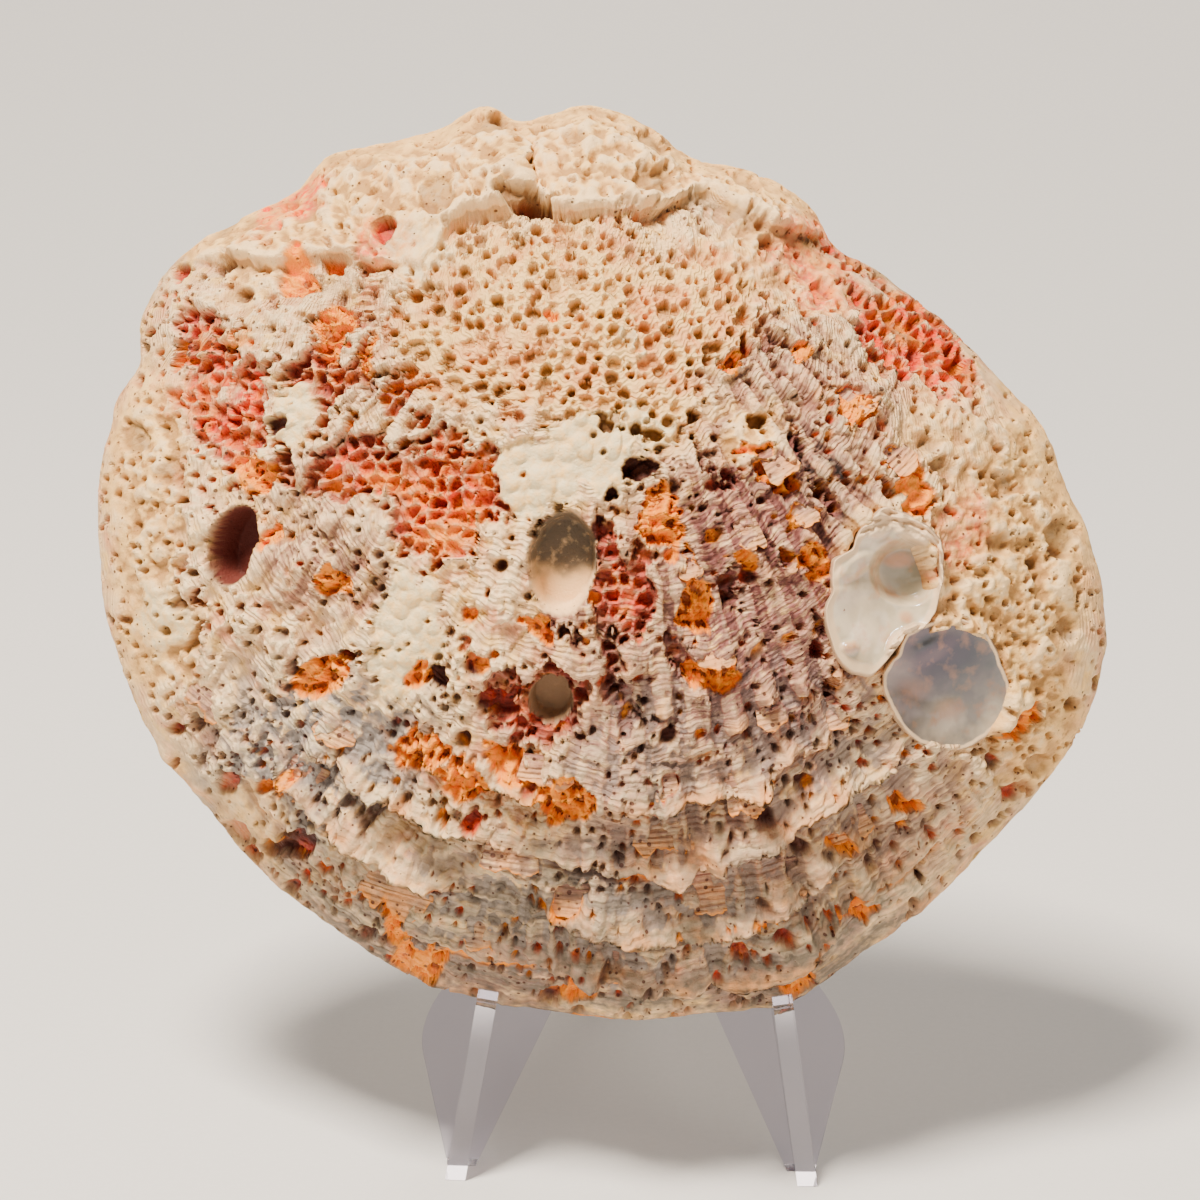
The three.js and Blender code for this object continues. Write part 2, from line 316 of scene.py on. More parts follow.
@dataclass(frozen=True)
class ShellLime:
    """Dry, bored shell lime: chalky, matt, and stained by sponges and coralline growth.

    The valve's own layers are crossed by fine growth lines and riblets, the crust is grainy,
    and the borings show the tissue-stained inside in coral, orange or dark red-brown. Painted
    shade darkens the holes, pinholes, hollows, ledge undersides and lower valve, and a painted
    highlight lightens the crests.
    """

    name: str = "dry_bored_shell_lime"
    growth_line_mm: float = 0.6
    corrugation_mm: float = 0.85
    pinhole_gap_mm: float = 1.25
    grain_mm: float = 0.32

    def build(self) -> bpy.types.Material:
        """Builds the material from the weights that the mesh carries at its points.

        Returns:
            The material.
        """
        material = bpy.data.materials.new(self.name)
        material.use_nodes = True
        tree = material.node_tree
        shader = tree.nodes["Principled BSDF"]
        place = add_node(tree, "ShaderNodeTexCoord").outputs["Object"]
        carried = {
            name: add_node(tree, "ShaderNodeAttribute", {"attribute_name": name}).outputs["Fac"]
            for name in (
                "growth", "riblet", "crust", "plaster", "mauve", "grey", "soot", "red", "orange",
                "depth", "dark", "bore", "comb", "dust", "relief", "eroded", "lip", "pins",
                "bore_red", "silt",
            )
        }  # fmt: skip
        for name, size_mm, detail in (
            ("blotch", 5.0, 3.0),
            ("mottle", 3.4, 3.0),
            ("fleck", 1.3, 4.0),
            ("speck", 0.45, 2.0),
            ("grain", self.grain_mm, 3.0),
        ):
            values = {"Vector": place, "Scale": 1.0 / (size_mm * MM), "Detail": detail}
            carried[name] = add_node(tree, "ShaderNodeTexNoise", inputs=values).outputs["Fac"]

        # Streaks and bands follow the growth lines, which lie close together and wander
        values = {0: product(tree, carried["riblet"], 0.16), 1: carried["growth"], 2: 0.0}
        along = add_node(tree, "ShaderNodeCombineXYZ", inputs=values).outputs[0]
        scale = 1.0 / self.growth_line_mm
        for name, stretch, detail, roughness in (("streak", 1.0, 3.0, 0.6), ("band", 0.3, 2.0, 0.5)):
            values = {"Vector": along, "Scale": stretch * scale, "Detail": detail}
            values["Roughness"] = roughness
            carried[name] = add_node(tree, "ShaderNodeTexNoise", inputs=values).outputs["Fac"]
        for name, first, second in (
            ("fleck_streak", "fleck", "streak"),
            ("fleck_band", "fleck", "band"),
            ("depth_speck", "depth", "speck"),
        ):
            values = {0: carried[first], 1: carried[second]}
            total = add_node(tree, "ShaderNodeMath", {"operation": "ADD"}, values)
            carried[name] = total.outputs[0]
        # Painted shade goes where the relief is a hollow (low), and a painted highlight where it is a
        # crest (high)
        carried["low"] = product(tree, (carried["relief"], 0.0, -0.8))
        carried["high"] = product(tree, (carried["relief"], 0.1, 0.9))

        colour = self.stained(tree, carried, self.grown_over(tree, carried, self.bare(tree, carried)))
        pin = self.pinholes(tree, carried, place)
        # The pinholes are too small for the mesh: their dark colour is painted shade
        colour = lay_coats(tree, colour, [(Tint.PIT, 0.85, pin)])
        tree.links.new(colour, shader.inputs["Base Color"])

        # Chalk is rough all over and a little smoother where a stain film is left
        values = {0: carried["plaster"], 1: carried["orange"]}
        film = add_node(tree, "ShaderNodeMath", {"operation": "MAXIMUM"}, values).outputs[0]
        values = {0: film, 1: -0.35, 2: carried["fleck"]}
        dull = add_node(tree, "ShaderNodeMath", {"operation": "MULTIPLY_ADD"}, values).outputs[0]
        tree.links.new(product(tree, (dull, 0.0, 1.0, 0.5, 0.9)), shader.inputs["Roughness"])
        shader.inputs["Specular IOR Level"].default_value = 0.4
        tree.links.new(self.fine_relief(tree, carried, pin), shader.inputs["Normal"])
        return material

    def bare(self, tree: bpy.types.NodeTree, carried: Carried) -> Socket:
        """Colours the bare valve: cream to rosy chalk over mauve and plum, with painted shade in the
        hollows and towards the bottom, and a painted highlight on the crests.

        Args:
            tree: The material's node tree.
            carried: The mesh's weights and the patterns, by name.

        Returns:
            The socket of the colour.
        """
        mauve, fleck = carried["mauve"], carried["fleck"]
        coats = [
            (Tint.ROSE, (carried["blotch"], 0.46, 0.74)),
            (Tint.BONE, (carried["mottle"], 0.5, 0.66)),
            (Tint.GREY_LILAC, carried["grey"], (carried["band"], 0.35, 0.6)),
            (Tint.MAUVE, mauve, (carried["fleck_streak"], 0.72, 1.02)),
            (Tint.PLUM, 0.9, (mauve, 0.0, 1.0, 0.15, 1.15), (carried["streak"], 0.5, 0.66)),
            # Painted shade: plum and grey-lilac where the relief is a hollow
            (Tint.PLUM, carried["low"], (mauve, 0.0, 1.0, 0.18, 0.68)),
            (Tint.GREY_LILAC, carried["low"], carried["grey"]),
            (Tint.SOOT, carried["soot"], (fleck, 0.4, 0.6)),
            # Painted highlight: ivory on the relief's crests
            (Tint.IVORY, carried["high"], (mauve, 0.0, 1.0, 1.0, 0.3), (fleck, 0.35, 0.7)),
            (Tint.WINE, carried["eroded"], (fleck, 0.42, 0.8)),
            # Peach on the ledges' lips: partly their own colour, partly a painted highlight
            (Tint.PEACH, carried["lip"], (carried["blotch"], 0.4, 0.6)),
            # Painted shade: darker towards the bottom of the valve
            (Tint.SILT, 0.95, carried["dust"], (carried["fleck_band"], 0.7, 1.2)),
        ]
        return lay_coats(tree, Tint.CHALK, coats)

    def grown_over(
        self, tree: bpy.types.NodeTree, carried: Carried, own: Socket
    ) -> Socket:
        """Lays the crust, with a painted tan shade in its hollows and a painted ivory highlight on its
        knobs, the tan comb and the plaster-like film over it.

        Args:
            tree: The material's node tree.
            carried: The mesh's weights and the patterns, by name.
            own: The bare valve's colour.

        Returns:
            The socket of the colour.
        """
        blotch, fleck = carried["blotch"], carried["fleck"]
        shades = [
            (Tint.CRUST, (blotch, 0.35, 0.6)),
            (Tint.CRUST_SHADE, (fleck, 0.55, 0.72)),
            # Painted shade in the crust's hollows, and a painted highlight on its knobs
            (Tint.CRUST_SHADE, carried["low"], 0.8),
            (Tint.IVORY, carried["high"], 0.5),
        ]
        crust = lay_coats(tree, Tint.BONE, shades)
        comb = lay_coats(tree, Tint.BONE, [(Tint.PEACH, (blotch, 0.42, 0.6))])
        film = lay_coats(tree, Tint.PLASTER, [(Tint.BONE, (fleck, 0.4, 0.7))])
        coats = [(crust, carried["crust"]), (comb, carried["comb"], 0.8), (film, carried["plaster"])]
        return lay_coats(tree, own, coats)

    def stained(
        self, tree: bpy.types.NodeTree, carried: Carried, clean: Socket
    ) -> Socket:
        """Stains it, stronger in the cavities than on their walls, darkens the holes and the ledges'
        undersides with painted shade, and lines the bores, with painted shade on their upper walls.

        Args:
            tree: The material's node tree.
            carried: The mesh's weights and the patterns, by name.
            clean: The colour without stains.

        Returns:
            The socket of the colour.
        """
        depth, fleck = carried["depth"], carried["fleck"]
        values = {0: depth, 1: 0.75, 2: product(tree, (fleck, 0.35, 0.7))}
        soak = add_node(tree, "ShaderNodeMath", {"operation": "MULTIPLY_ADD"}, values).outputs[0]
        # Deeper in the holes the colour goes to tan and dark red-brown: partly the borings' own stain,
        # partly painted shade
        hollow = lay_coats(tree, Tint.TAN, [(Tint.PIT, carried["dark"])])
        shades = [
            (Tint.EMBER, (carried["blotch"], 0.42, 0.62)),
            # Darker red deeper in the holes: partly the stain, partly painted shade
            (Tint.DEEP_RED, (carried["depth_speck"], 0.85, 1.5)),
            # Painted shade: wine in the hollows of the red stain
            (Tint.WINE, carried["low"], 0.5),
        ]
        reds = lay_coats(tree, Tint.CORAL, shades)
        # Rust deeper in the pockets and dark pit colour at their bottom: partly the stain, partly
        # painted shade
        shades = [
            (Tint.RUST, (carried["depth_speck"], 1.25, 1.65)),
            (Tint.PIT, (depth, 0.92, 1.0), 0.7),
        ]
        glow = lay_coats(tree, Tint.ORANGE, shades)
        shades = [
            (Tint.DRIED_RED, carried["bore_red"]),
            # Painted shade: grey-brown on the bores' upper inside walls
            (Tint.SILT, carried["silt"], (fleck, 0.1, 0.45)),
        ]
        lining = lay_coats(tree, Tint.CHALK, shades)
        coats = [
            (hollow, depth, 1.15),
            (reds, carried["red"], (soak, 0.0, 2.0, 0.3, 2.3)),
            (glow, carried["orange"], (soak, 0.0, 2.0, 0.7, 2.7)),
            (lining, carried["bore"]),
        ]
        return lay_coats(tree, clean, coats)

    def pinholes(
        self, tree: bpy.types.NodeTree, carried: Carried, place: Socket
    ) -> Socket:
        """Pricks the pinholes of boring sponges, all through the surface.

        Args:
            tree: The material's node tree.
            carried: The mesh's weights and the patterns, by name.
            place: The place on the shell.

        Returns:
            The socket that is 1 in a pinhole and 0 outside.
        """
        pins = carried["pins"]
        values = {"Vector": place, "Scale": 1.0 / (self.pinhole_gap_mm * MM), "Randomness": 1.0}
        dots = add_node(tree, "ShaderNodeTexVoronoi", inputs=values)
        odds = add_node(tree, "ShaderNodeSeparateColor", inputs={0: dots.outputs["Color"]})
        values = {0: dots.outputs["Distance"], 1: product(tree, odds.outputs[0], pins, 0.3)}
        past = add_node(tree, "ShaderNodeMath", {"operation": "SUBTRACT"}, values).outputs[0]
        return product(tree, (past, 0.05, -0.03), (pins, 0.05, 0.3))

    def fine_relief(
        self, tree: bpy.types.NodeTree, carried: Carried, pin: Socket
    ) -> Socket:
        """Raises the corrugation, streaks and grain that are finer than the mesh.

        Args:
            tree: The material's node tree.
            carried: The mesh's weights and the patterns, by name.
            pin: Where the pinholes are.

        Returns:
            The socket of the bumped normal.
        """
        values = {0: carried["crust"], 1: carried["plaster"]}
        grown = add_node(tree, "ShaderNodeMath", {"operation": "MAXIMUM"}, values).outputs[0]
        bare = product(tree, (grown, 0.0, 1.0, 1.0, 0.0), (carried["bore"], 0.0, 1.0, 1.0, 0.0))
        spacing = 2 * math.pi / self.corrugation_mm
        values = {0: carried["growth"], 1: spacing, 2: product(tree, carried["band"], 9.0)}
        phase = add_node(tree, "ShaderNodeMath", {"operation": "MULTIPLY_ADD"}, values).outputs[0]
        waves = add_node(tree, "ShaderNodeMath", {"operation": "SINE"}, {0: phase}).outputs[0]
        height: Socket | float = 0.0
        for parts in (
            (carried["streak"], 1.6, bare),
            (waves, 0.3, bare),
            (carried["grain"], 0.5),
            (carried["fleck"], 0.8),
            (pin, -0.8),
        ):
            values = {0: product(tree, *parts), 1: height}
            height = add_node(tree, "ShaderNodeMath", {"operation": "ADD"}, values).outputs[0]
        values = {"Strength": 0.9, "Distance": 0.3 * MM, "Height": height}
        return add_node(tree, "ShaderNodeBump", inputs=values).outputs["Normal"]


@dataclass(frozen=True)
class Porcelain:
    """The valve's smooth inside: dense white shell lime, polished by the animal's mantle.

    It is glossy like glazed china, yellowed and stained in patches, with a band of the outer
    layer's orange and purple showing round the margin.
    """

    name: str = "mantle_polished_porcelain_lime"
    white: str = "#F1EAE0"
    cream: str = "#E9DFD0"
    yellowed: str = "#D9C6A8"
    scarred: str = "#CDB79A"
    purple: str = "#8E4A55"
    orange: str = "#D9763F"

    def build(self) -> bpy.types.Material:
        """Builds the material.

        Returns:
            The material.
        """
        material = bpy.data.materials.new(self.name)
        material.use_nodes = True
        tree = material.node_tree
        shader = tree.nodes["Principled BSDF"]
        place = add_node(tree, "ShaderNodeTexCoord").outputs["Object"]
        clouds, flecks = (
            add_node(
                tree, "ShaderNodeTexNoise", inputs={"Vector": place, "Scale": scale, "Detail": detail}
            ).outputs["Fac"]
            for scale, detail in ((70.0, 5.0), (620.0, 4.0))
        )
        edge, scar = (
            add_node(tree, "ShaderNodeAttribute", {"attribute_name": name}).outputs["Fac"]
            for name in ("edge", "scar")
        )
        band = lay_coats(tree, self.purple, [(self.orange, (flecks, 0.42, 0.6))])
        coats = [
            (self.cream, (clouds, 0.32, 0.5)),
            (self.yellowed, (clouds, 0.5, 0.66)),
            (self.scarred, scar),
            (band, edge),
        ]
        tree.links.new(lay_coats(tree, self.white, coats), shader.inputs["Base Color"])
        tree.links.new(product(tree, (clouds, 0.3, 0.7, 0.16, 0.38)), shader.inputs["Roughness"])
        values = {"Strength": 0.3, "Distance": 0.2 * MM, "Height": flecks}
        bump = add_node(tree, "ShaderNodeBump", inputs=values).outputs["Normal"]
        tree.links.new(bump, shader.inputs["Normal"])
        return material


@dataclass(frozen=True)
class Nacre:
    """Mother of pearl as it grew: thin plates of lime that shine silvery through each other.

    The eye gets a soft grey-white gloss, clouds of peach and brown, and faint colour at a
    grazing angle from the clear top plates.
    """

    name: str = "grown_mother_of_pearl"
    pale: str = "#E9E5DC"
    shade: str = "#A9A7A4"
    cloud: str = "#C9A98C"
    deep: str = "#8E8472"
    outer: str = "#EBC99C"
    clouded: float = 0.5

    def build(self) -> bpy.types.Material:
        """Builds the material.

        Returns:
            The material.
        """
        material = bpy.data.materials.new(self.name)
        material.use_nodes = True
        tree = material.node_tree
        shader = tree.nodes["Principled BSDF"]
        place = add_node(tree, "ShaderNodeTexCoord").outputs["Object"]
        broad, small = (
            add_node(
                tree, "ShaderNodeTexNoise", inputs={"Vector": place, "Scale": scale, "Detail": 3.0}
            ).outputs["Fac"]
            for scale in (190.0, 420.0)
        )
        rim, shade, peach = (
            add_node(tree, "ShaderNodeAttribute", {"attribute_name": name}).outputs["Fac"]
            for name in ("rim", "shade", "peach")
        )
        coats = [
            (self.shade, (broad, 0.38, 0.62, 0.0, 0.8)),
            # Painted shade: the deep colour where the shell's shade weight is high, in its hollow
            (self.deep, shade),
            (self.cloud, peach),
            (self.cloud, (small, 0.52, 0.68, 0.0, self.clouded)),
            (self.outer, rim),
        ]
        tree.links.new(lay_coats(tree, self.pale, coats), shader.inputs["Base Color"])
        tree.links.new(product(tree, (rim, 0.0, 1.0, 0.2, 0.75)), shader.inputs["Roughness"])
        shader.inputs["Coat Weight"].default_value = 0.35
        shader.inputs["Coat Roughness"].default_value = 0.12
        shader.inputs["Thin Film Thickness"].default_value = 380.0
        shader.inputs["Thin Film IOR"].default_value = 1.6
        values = {"Strength": 0.25, "Distance": 0.3 * MM, "Height": small}
        bump = add_node(tree, "ShaderNodeBump", inputs=values).outputs["Normal"]
        tree.links.new(bump, shader.inputs["Normal"])
        return material


@dataclass(frozen=True)
class ClearAcrylic:
    """Clear acrylic, injection moulded in a polished tool: glass-clear with a faint cool tint."""

    name: str = "moulded_clear_acrylic"
    tint: str = "#EDEAF6"
    ior: float = 1.49

    def build(self) -> bpy.types.Material:
        """Builds the material.

        Returns:
            The material.
        """
        material = bpy.data.materials.new(self.name)
        material.use_nodes = True
        tree = material.node_tree
        shader = tree.nodes["Principled BSDF"]
        place = add_node(tree, "ShaderNodeTexCoord").outputs["Object"]
        flow = add_node(
            tree, "ShaderNodeTexNoise", inputs={"Vector": place, "Scale": 160.0, "Detail": 2.0}
        ).outputs["Fac"]
        tree.links.new(product(tree, (flow, 0.4, 0.7, 0.02, 0.08)), shader.inputs["Roughness"])
        shader.inputs["Base Color"].default_value = linear(self.tint)
        shader.inputs["Transmission Weight"].default_value = 1.0
        shader.inputs["IOR"].default_value = self.ior
        bump = add_node(
            tree, "ShaderNodeBump", inputs={"Strength": 0.08, "Distance": 0.2 * MM, "Height": flow}
        ).outputs["Normal"]
        tree.links.new(bump, shader.inputs["Normal"])
        return material


# --------------------------------------------------------------------------- the valve's form


@dataclass(frozen=True)
class LeaningPlane:
    """Takes places in the valve's own plane to the frame, leaning back on the easel."""

    lean_deg: float = 18.0
    easel_x_mm: float = 5.8
    leg_reach_mm: float = 58.0
    foot_drop_mm: float = 92.0
    gap_mm: float = 0.3

    def origin(self) -> np.ndarray:
        """Works out where the middle of the valve's plane is, from the easel's back leg.

        Returns:
            The place in metres.
        """
        low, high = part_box("stand_back_leg")
        lean = math.radians(self.lean_deg)
        rise = self.foot_drop_mm * math.cos(lean) + self.gap_mm * math.sin(lean)
        middle_x = (low[0] + high[0]) / 2 - self.easel_x_mm * MM
        return np.array([middle_x, high[1] - self.leg_reach_mm * MM, rise * MM])

    def to_frame(self, x: np.ndarray, y: np.ndarray, z: np.ndarray) -> np.ndarray:
        """Turns places in mm in the valve's plane into places in the frame.

        Args:
            x: To the right.
            y: Up along the valve.
            z: Out of its outside.

        Returns:
            Places in metres, one row each.
        """
        lean = math.radians(self.lean_deg)
        back = y * math.sin(lean) - z * math.cos(lean)
        rise = y * math.cos(lean) + z * math.sin(lean)
        return np.stack([x, back, rise], axis=-1) * MM + self.origin()


@dataclass(frozen=True)
class Blob:
    """An oval area in the valve's plane: centre, half sizes in mm, and turn in degrees."""

    x: float
    y: float
    across: float
    up: float
    turn: float = 0.0
    strength: float = 1.0
    soft: float = 0.35

    def distance(self, x: np.ndarray, y: np.ndarray) -> np.ndarray:
        """Reads how far out places lie: 0 at the middle, 1 on the edge.

        Args:
            x: Places across, in mm.
            y: Places up, in mm.

        Returns:
            The distances.
        """
        turn = math.radians(self.turn)
        along = (x - self.x) * math.cos(turn) + (y - self.y) * math.sin(turn)
        aside = (y - self.y) * math.cos(turn) - (x - self.x) * math.sin(turn)
        return np.hypot(along / self.across, aside / self.up)

    def weight(self, x: np.ndarray, y: np.ndarray) -> np.ndarray:
        """Reads the area's strength at places, fading over its soft edge.

        Args:
            x: Places across, in mm.
            y: Places up, in mm.

        Returns:
            Weights from 0 to the area's strength.
        """
        edge = ease(1.0 + self.soft, 1.0 - self.soft, self.distance(x, y))
        return self.strength * edge


def ovals(*rows: tuple[float, ...]) -> list[Blob]:
    """Makes areas from rows of numbers, in the order of Blob's fields."""
    return [Blob(*row) for row in rows]


def area(blobs: list[Blob], x: np.ndarray, y: np.ndarray, ragged: float = 1.0) -> np.ndarray:
    """Joins several areas, with ragged edges.

    Args:
        blobs: The areas.
        x: Places across, in mm.
        y: Places up, in mm.
        ragged: How far the edges wander, in mm.

    Returns:
        The greatest weight of any area at each place.
    """
    wander_x = x + ragged * (rough(x, y, 5.0, 71) + 0.7 * rough(x, y, 1.8, 73, 3))
    wander_y = y + ragged * (rough(x, y, 5.0, 83) + 0.7 * rough(x, y, 1.8, 87, 3))
    total = np.zeros_like(x)
    for blob in blobs:
        total = np.maximum(total, blob.weight(wander_x, wander_y))
    return total


@dataclass
class ValveForm:
    """The valve's dome, margin and hollow, as the solid model has them, all in mm."""

    dome_height: float = 40.0
    margin_thickness: float = 6.0
    wall_thickness: float = 8.0
    roundness: float = 2.2
    fall: float = 0.8
    apex_y: float = 12.0
    margin: list[tuple[float, float]] = field(
        default_factory=lambda: [
            (75.3, -10), (73, 4), (69.2, 12), (65.5, 21), (59.5, 27.5), (50.5, 36.5),
            (41, 43.5), (34, 47.5), (29.5, 54), (21.5, 58.5), (12, 60.5), (6, 65),
            (-2.7, 68.2), (-9, 66.8), (-14, 65.6), (-19, 67.8), (-26, 64), (-34, 62),
            (-42, 60), (-47, 54.5), (-57, 49.5), (-65, 43.5), (-69.5, 36), (-70, 28.5),
            (-73.5, 22), (-75.8, 8), (-74.8, -6), (-72.5, -15), (-67, -27.5),
            (-60.5, -35.5), (-53, -44.5), (-45, -51), (-36, -57.5), (-27, -62.5),
            (-16.4, -65), (-8, -67), (5.6, -68.4), (15, -67.4), (23, -66.4), (30, -64.8),
            (40.5, -57), (48, -51.5), (54, -45.5), (61.7, -37.5), (68, -30), (73, -21.5),
        ]
    )  # fmt: skip

    def __post_init__(self) -> None:
        """Reads the margin's distance from the apex in every direction."""
        knots = np.array(self.margin, float)
        steps = np.linspace(0, 1, 20, endpoint=False)[:, None]
        before, after, last = (np.roll(knots, shift, 0) for shift in (1, -1, -2))
        curve = [
            0.5 * (2 * here + (there - prior) * steps
                   + (2 * prior - 5 * here + 4 * there - beyond) * steps**2
                   + (3 * here - prior - 3 * there + beyond) * steps**3)
            for prior, here, there, beyond in zip(before, knots, after, last, strict=True)
        ]  # fmt: skip
        points = np.concatenate(curve)
        angle = np.arctan2(points[:, 1] - self.apex_y, points[:, 0])
        order = np.argsort(angle)
        self.angles = angle[order]
        self.distances = np.hypot(points[:, 0], points[:, 1] - self.apex_y)[order]

    def margin_distance(self, angle: np.ndarray) -> np.ndarray:
        """Reads the distance from the apex to the margin.

        Args:
            angle: Directions, in radians.

        Returns:
            Distances in mm.
        """
        return np.interp(angle, self.angles, self.distances, period=2 * math.pi)

    def profile(self, reach: np.ndarray) -> np.ndarray:
        """Reads the dome from 1 at the apex to 0 at the margin."""
        return np.maximum(0.0, 1.0 - np.minimum(reach, 1.0) ** self.roundness) ** self.fall

    def reach(self, x: np.ndarray, y: np.ndarray) -> np.ndarray:
        """Reads how far out places are: 0 at the apex, 1 on the margin."""
        away = np.hypot(x, y - self.apex_y)
        return away / self.margin_distance(np.arctan2(y - self.apex_y, x))

    def dome(self, x: np.ndarray, y: np.ndarray) -> np.ndarray:
        """Height of the plain outside above the margin's plane, in mm."""
        bulge = (self.dome_height - self.margin_thickness) * self.profile(self.reach(x, y))
        return self.margin_thickness + bulge

    def hollow(self, x: np.ndarray, y: np.ndarray) -> np.ndarray:
        """Height of the plain inside above the margin's plane, in mm."""
        deep = (self.dome_height - self.wall_thickness) * self.profile(self.reach(x, y) / 0.96)
        return deep * (1 - self.plate(x, y)) + 1.5 * self.plate(x, y)

    def plate(self, x: np.ndarray, y: np.ndarray) -> np.ndarray:
        """Reads where the hinge plate lies: 1 on it and 0 off it."""
        return ease(38, 47, y) * ease(36, 26, np.abs(x))

    def seen(self, x: np.ndarray, y: np.ndarray) -> tuple[np.ndarray, np.ndarray]:
        """Finds where places on the dome look to be, square-on from an arm's length.

        The higher parts of the dome are nearer the eye, so they look further out.

        Args:
            x: Places across, in mm.
            y: Places up, in mm.

        Returns:
            The places across and up as they look, in mm.
        """
        spread = VIEW_DISTANCE / (VIEW_DISTANCE - self.dome(x, y))
        return VIEW_X + (x - VIEW_X) * spread, VIEW_Y + (y - VIEW_Y) * spread

    def unseen(self, x: float, y: float) -> tuple[float, float]:
        """Finds the true place of a point from where it looks to be.

        Args:
            x: Place across as it looks, in mm.
            y: Place up as it looks, in mm.

        Returns:
            The true places across and up, in mm.
        """
        true_x, true_y = np.array(x, float), np.array(y, float)
        for _ in range(8):
            off_x, off_y = self.seen(true_x, true_y)
            true_x, true_y = true_x + (x - off_x), true_y + (y - off_y)
        return float(true_x), float(true_y)


# --------------------------------------------------------------------------- meshes


def disc_grid(squares: int) -> tuple[np.ndarray, np.ndarray]:
    """Spreads a square grid evenly over a disc.

    Args:
        squares: Squares along a side.

    Returns:
        The grid points' directions in radians, and how far out they are, from 0 to 1.
    """
    side = np.linspace(-1, 1, squares + 1)
    a, b = np.meshgrid(side, side, indexing="xy")
    wide = np.abs(a) >= np.abs(b)
    with np.errstate(divide="ignore", invalid="ignore"):
        turn = np.where(wide, math.pi / 4 * b / a, math.pi / 2 - math.pi / 4 * a / b)
    radius = np.where(wide, a, b)
    return np.nan_to_num(turn) + np.where(radius < 0, math.pi, 0.0), np.abs(radius)


def blurred(values: np.ndarray, reach: int) -> np.ndarray:
    """Averages a grid of numbers over squares of points, twice.

    Args:
        values: Rows by columns.
        reach: How many points away the averaging goes.

    Returns:
        The averages, of the same shape.
    """
    for axis in (0, 1, 0, 1):
        padding = [(0, 0), (0, 0)]
        padding[axis] = (reach + 1, reach)
        total = np.cumsum(np.pad(values, padding, mode="edge"), axis=axis)
        count = 2 * reach + 1
        if axis == 0:
            values = (total[count:] - total[:-count]) / count
        else:
            values = (total[:, count:] - total[:, :-count]) / count
    return values


def smooth_normals(points: np.ndarray) -> np.ndarray:
    """Works out the normals of a grid of points.

    Args:
        points: Rows by columns by three.

    Returns:
        Unit normals of the same shape.
    """
    across = np.gradient(points, axis=1)
    up = np.gradient(points, axis=0)
    normal = np.cross(across, up)
    return normal / np.maximum(np.linalg.norm(normal, axis=-1, keepdims=True), 1e-12)


def mesh_object(
    name: str,
    points: np.ndarray,
    quads: np.ndarray,
    normals: np.ndarray | None = None,
    weights: dict[str, np.ndarray] | None = None,
) -> bpy.types.Object:
    """Makes a mesh of four-sided faces and links it to the scene.

    Args:
        name: Name of the object.
        points: Points in metres, one row each.
        quads: Four point numbers a row.
        normals: The points' normals, where they aren't worked out from the faces.
        weights: Numbers carried at the points, by name.

    Returns:
        The new object.
    """
    mesh = bpy.data.meshes.new(name)
    mesh.vertices.add(len(points))
    mesh.vertices.foreach_set("co", points.astype(np.float32).ravel())
    mesh.loops.add(quads.size)
    mesh.loops.foreach_set("vertex_index", quads.astype(np.int32).ravel())
    mesh.polygons.add(len(quads))
    mesh.polygons.foreach_set("loop_start", np.arange(0, quads.size, 4, dtype=np.int32))
    mesh.polygons.foreach_set("loop_total", np.full(len(quads), 4, dtype=np.int32))
    mesh.polygons.foreach_set("use_smooth", np.ones(len(quads), dtype=bool))
    for label, values in (weights or {}).items():
        layer = mesh.attributes.new(label, "FLOAT", "POINT")
        layer.data.foreach_set("value", values.astype(np.float32).ravel())
    mesh.update(calc_edges=True)
    mesh.validate()
    if normals is not None:
        mesh.normals_split_custom_set_from_vertices(normals.astype(np.float32).reshape(-1, 3))
    made = bpy.data.objects.new(name, mesh)
    bpy.context.scene.collection.objects.link(made)
    return made


def grid_quads(rows: int, columns: int, closed: bool = False) -> np.ndarray:
    """Lists the faces of a grid of points.

    Args:
        rows: Rows of points.
        columns: Points in a row.
        closed: Whether the last column joins the first.

    Returns:
        Four point numbers a row.
    """
    row, column = np.meshgrid(
        np.arange(rows - 1), np.arange(columns if closed else columns - 1), indexing="ij"
    )
    beside = (column + 1) % columns
    corners = [
        row * columns + column,
        row * columns + beside,
        (row + 1) * columns + beside,
        (row + 1) * columns + column,
    ]
    return np.stack(corners, axis=-1).reshape(-1, 4)


def dress(piece: bpy.types.Object, node: str, material: bpy.types.Material) -> None:
    """Gives a piece its material and says what it stands for.

    Args:
        piece: The piece.
        node: The solid node that it replaces.
        material: Its material.
    """
    piece.data.materials.append(material)
    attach(piece, "root")
    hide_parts(node)
    LOG.info("%s: %d faces, for %s", piece.name, len(piece.data.polygons), node)


# --------------------------------------------------------------------------- the worn outside


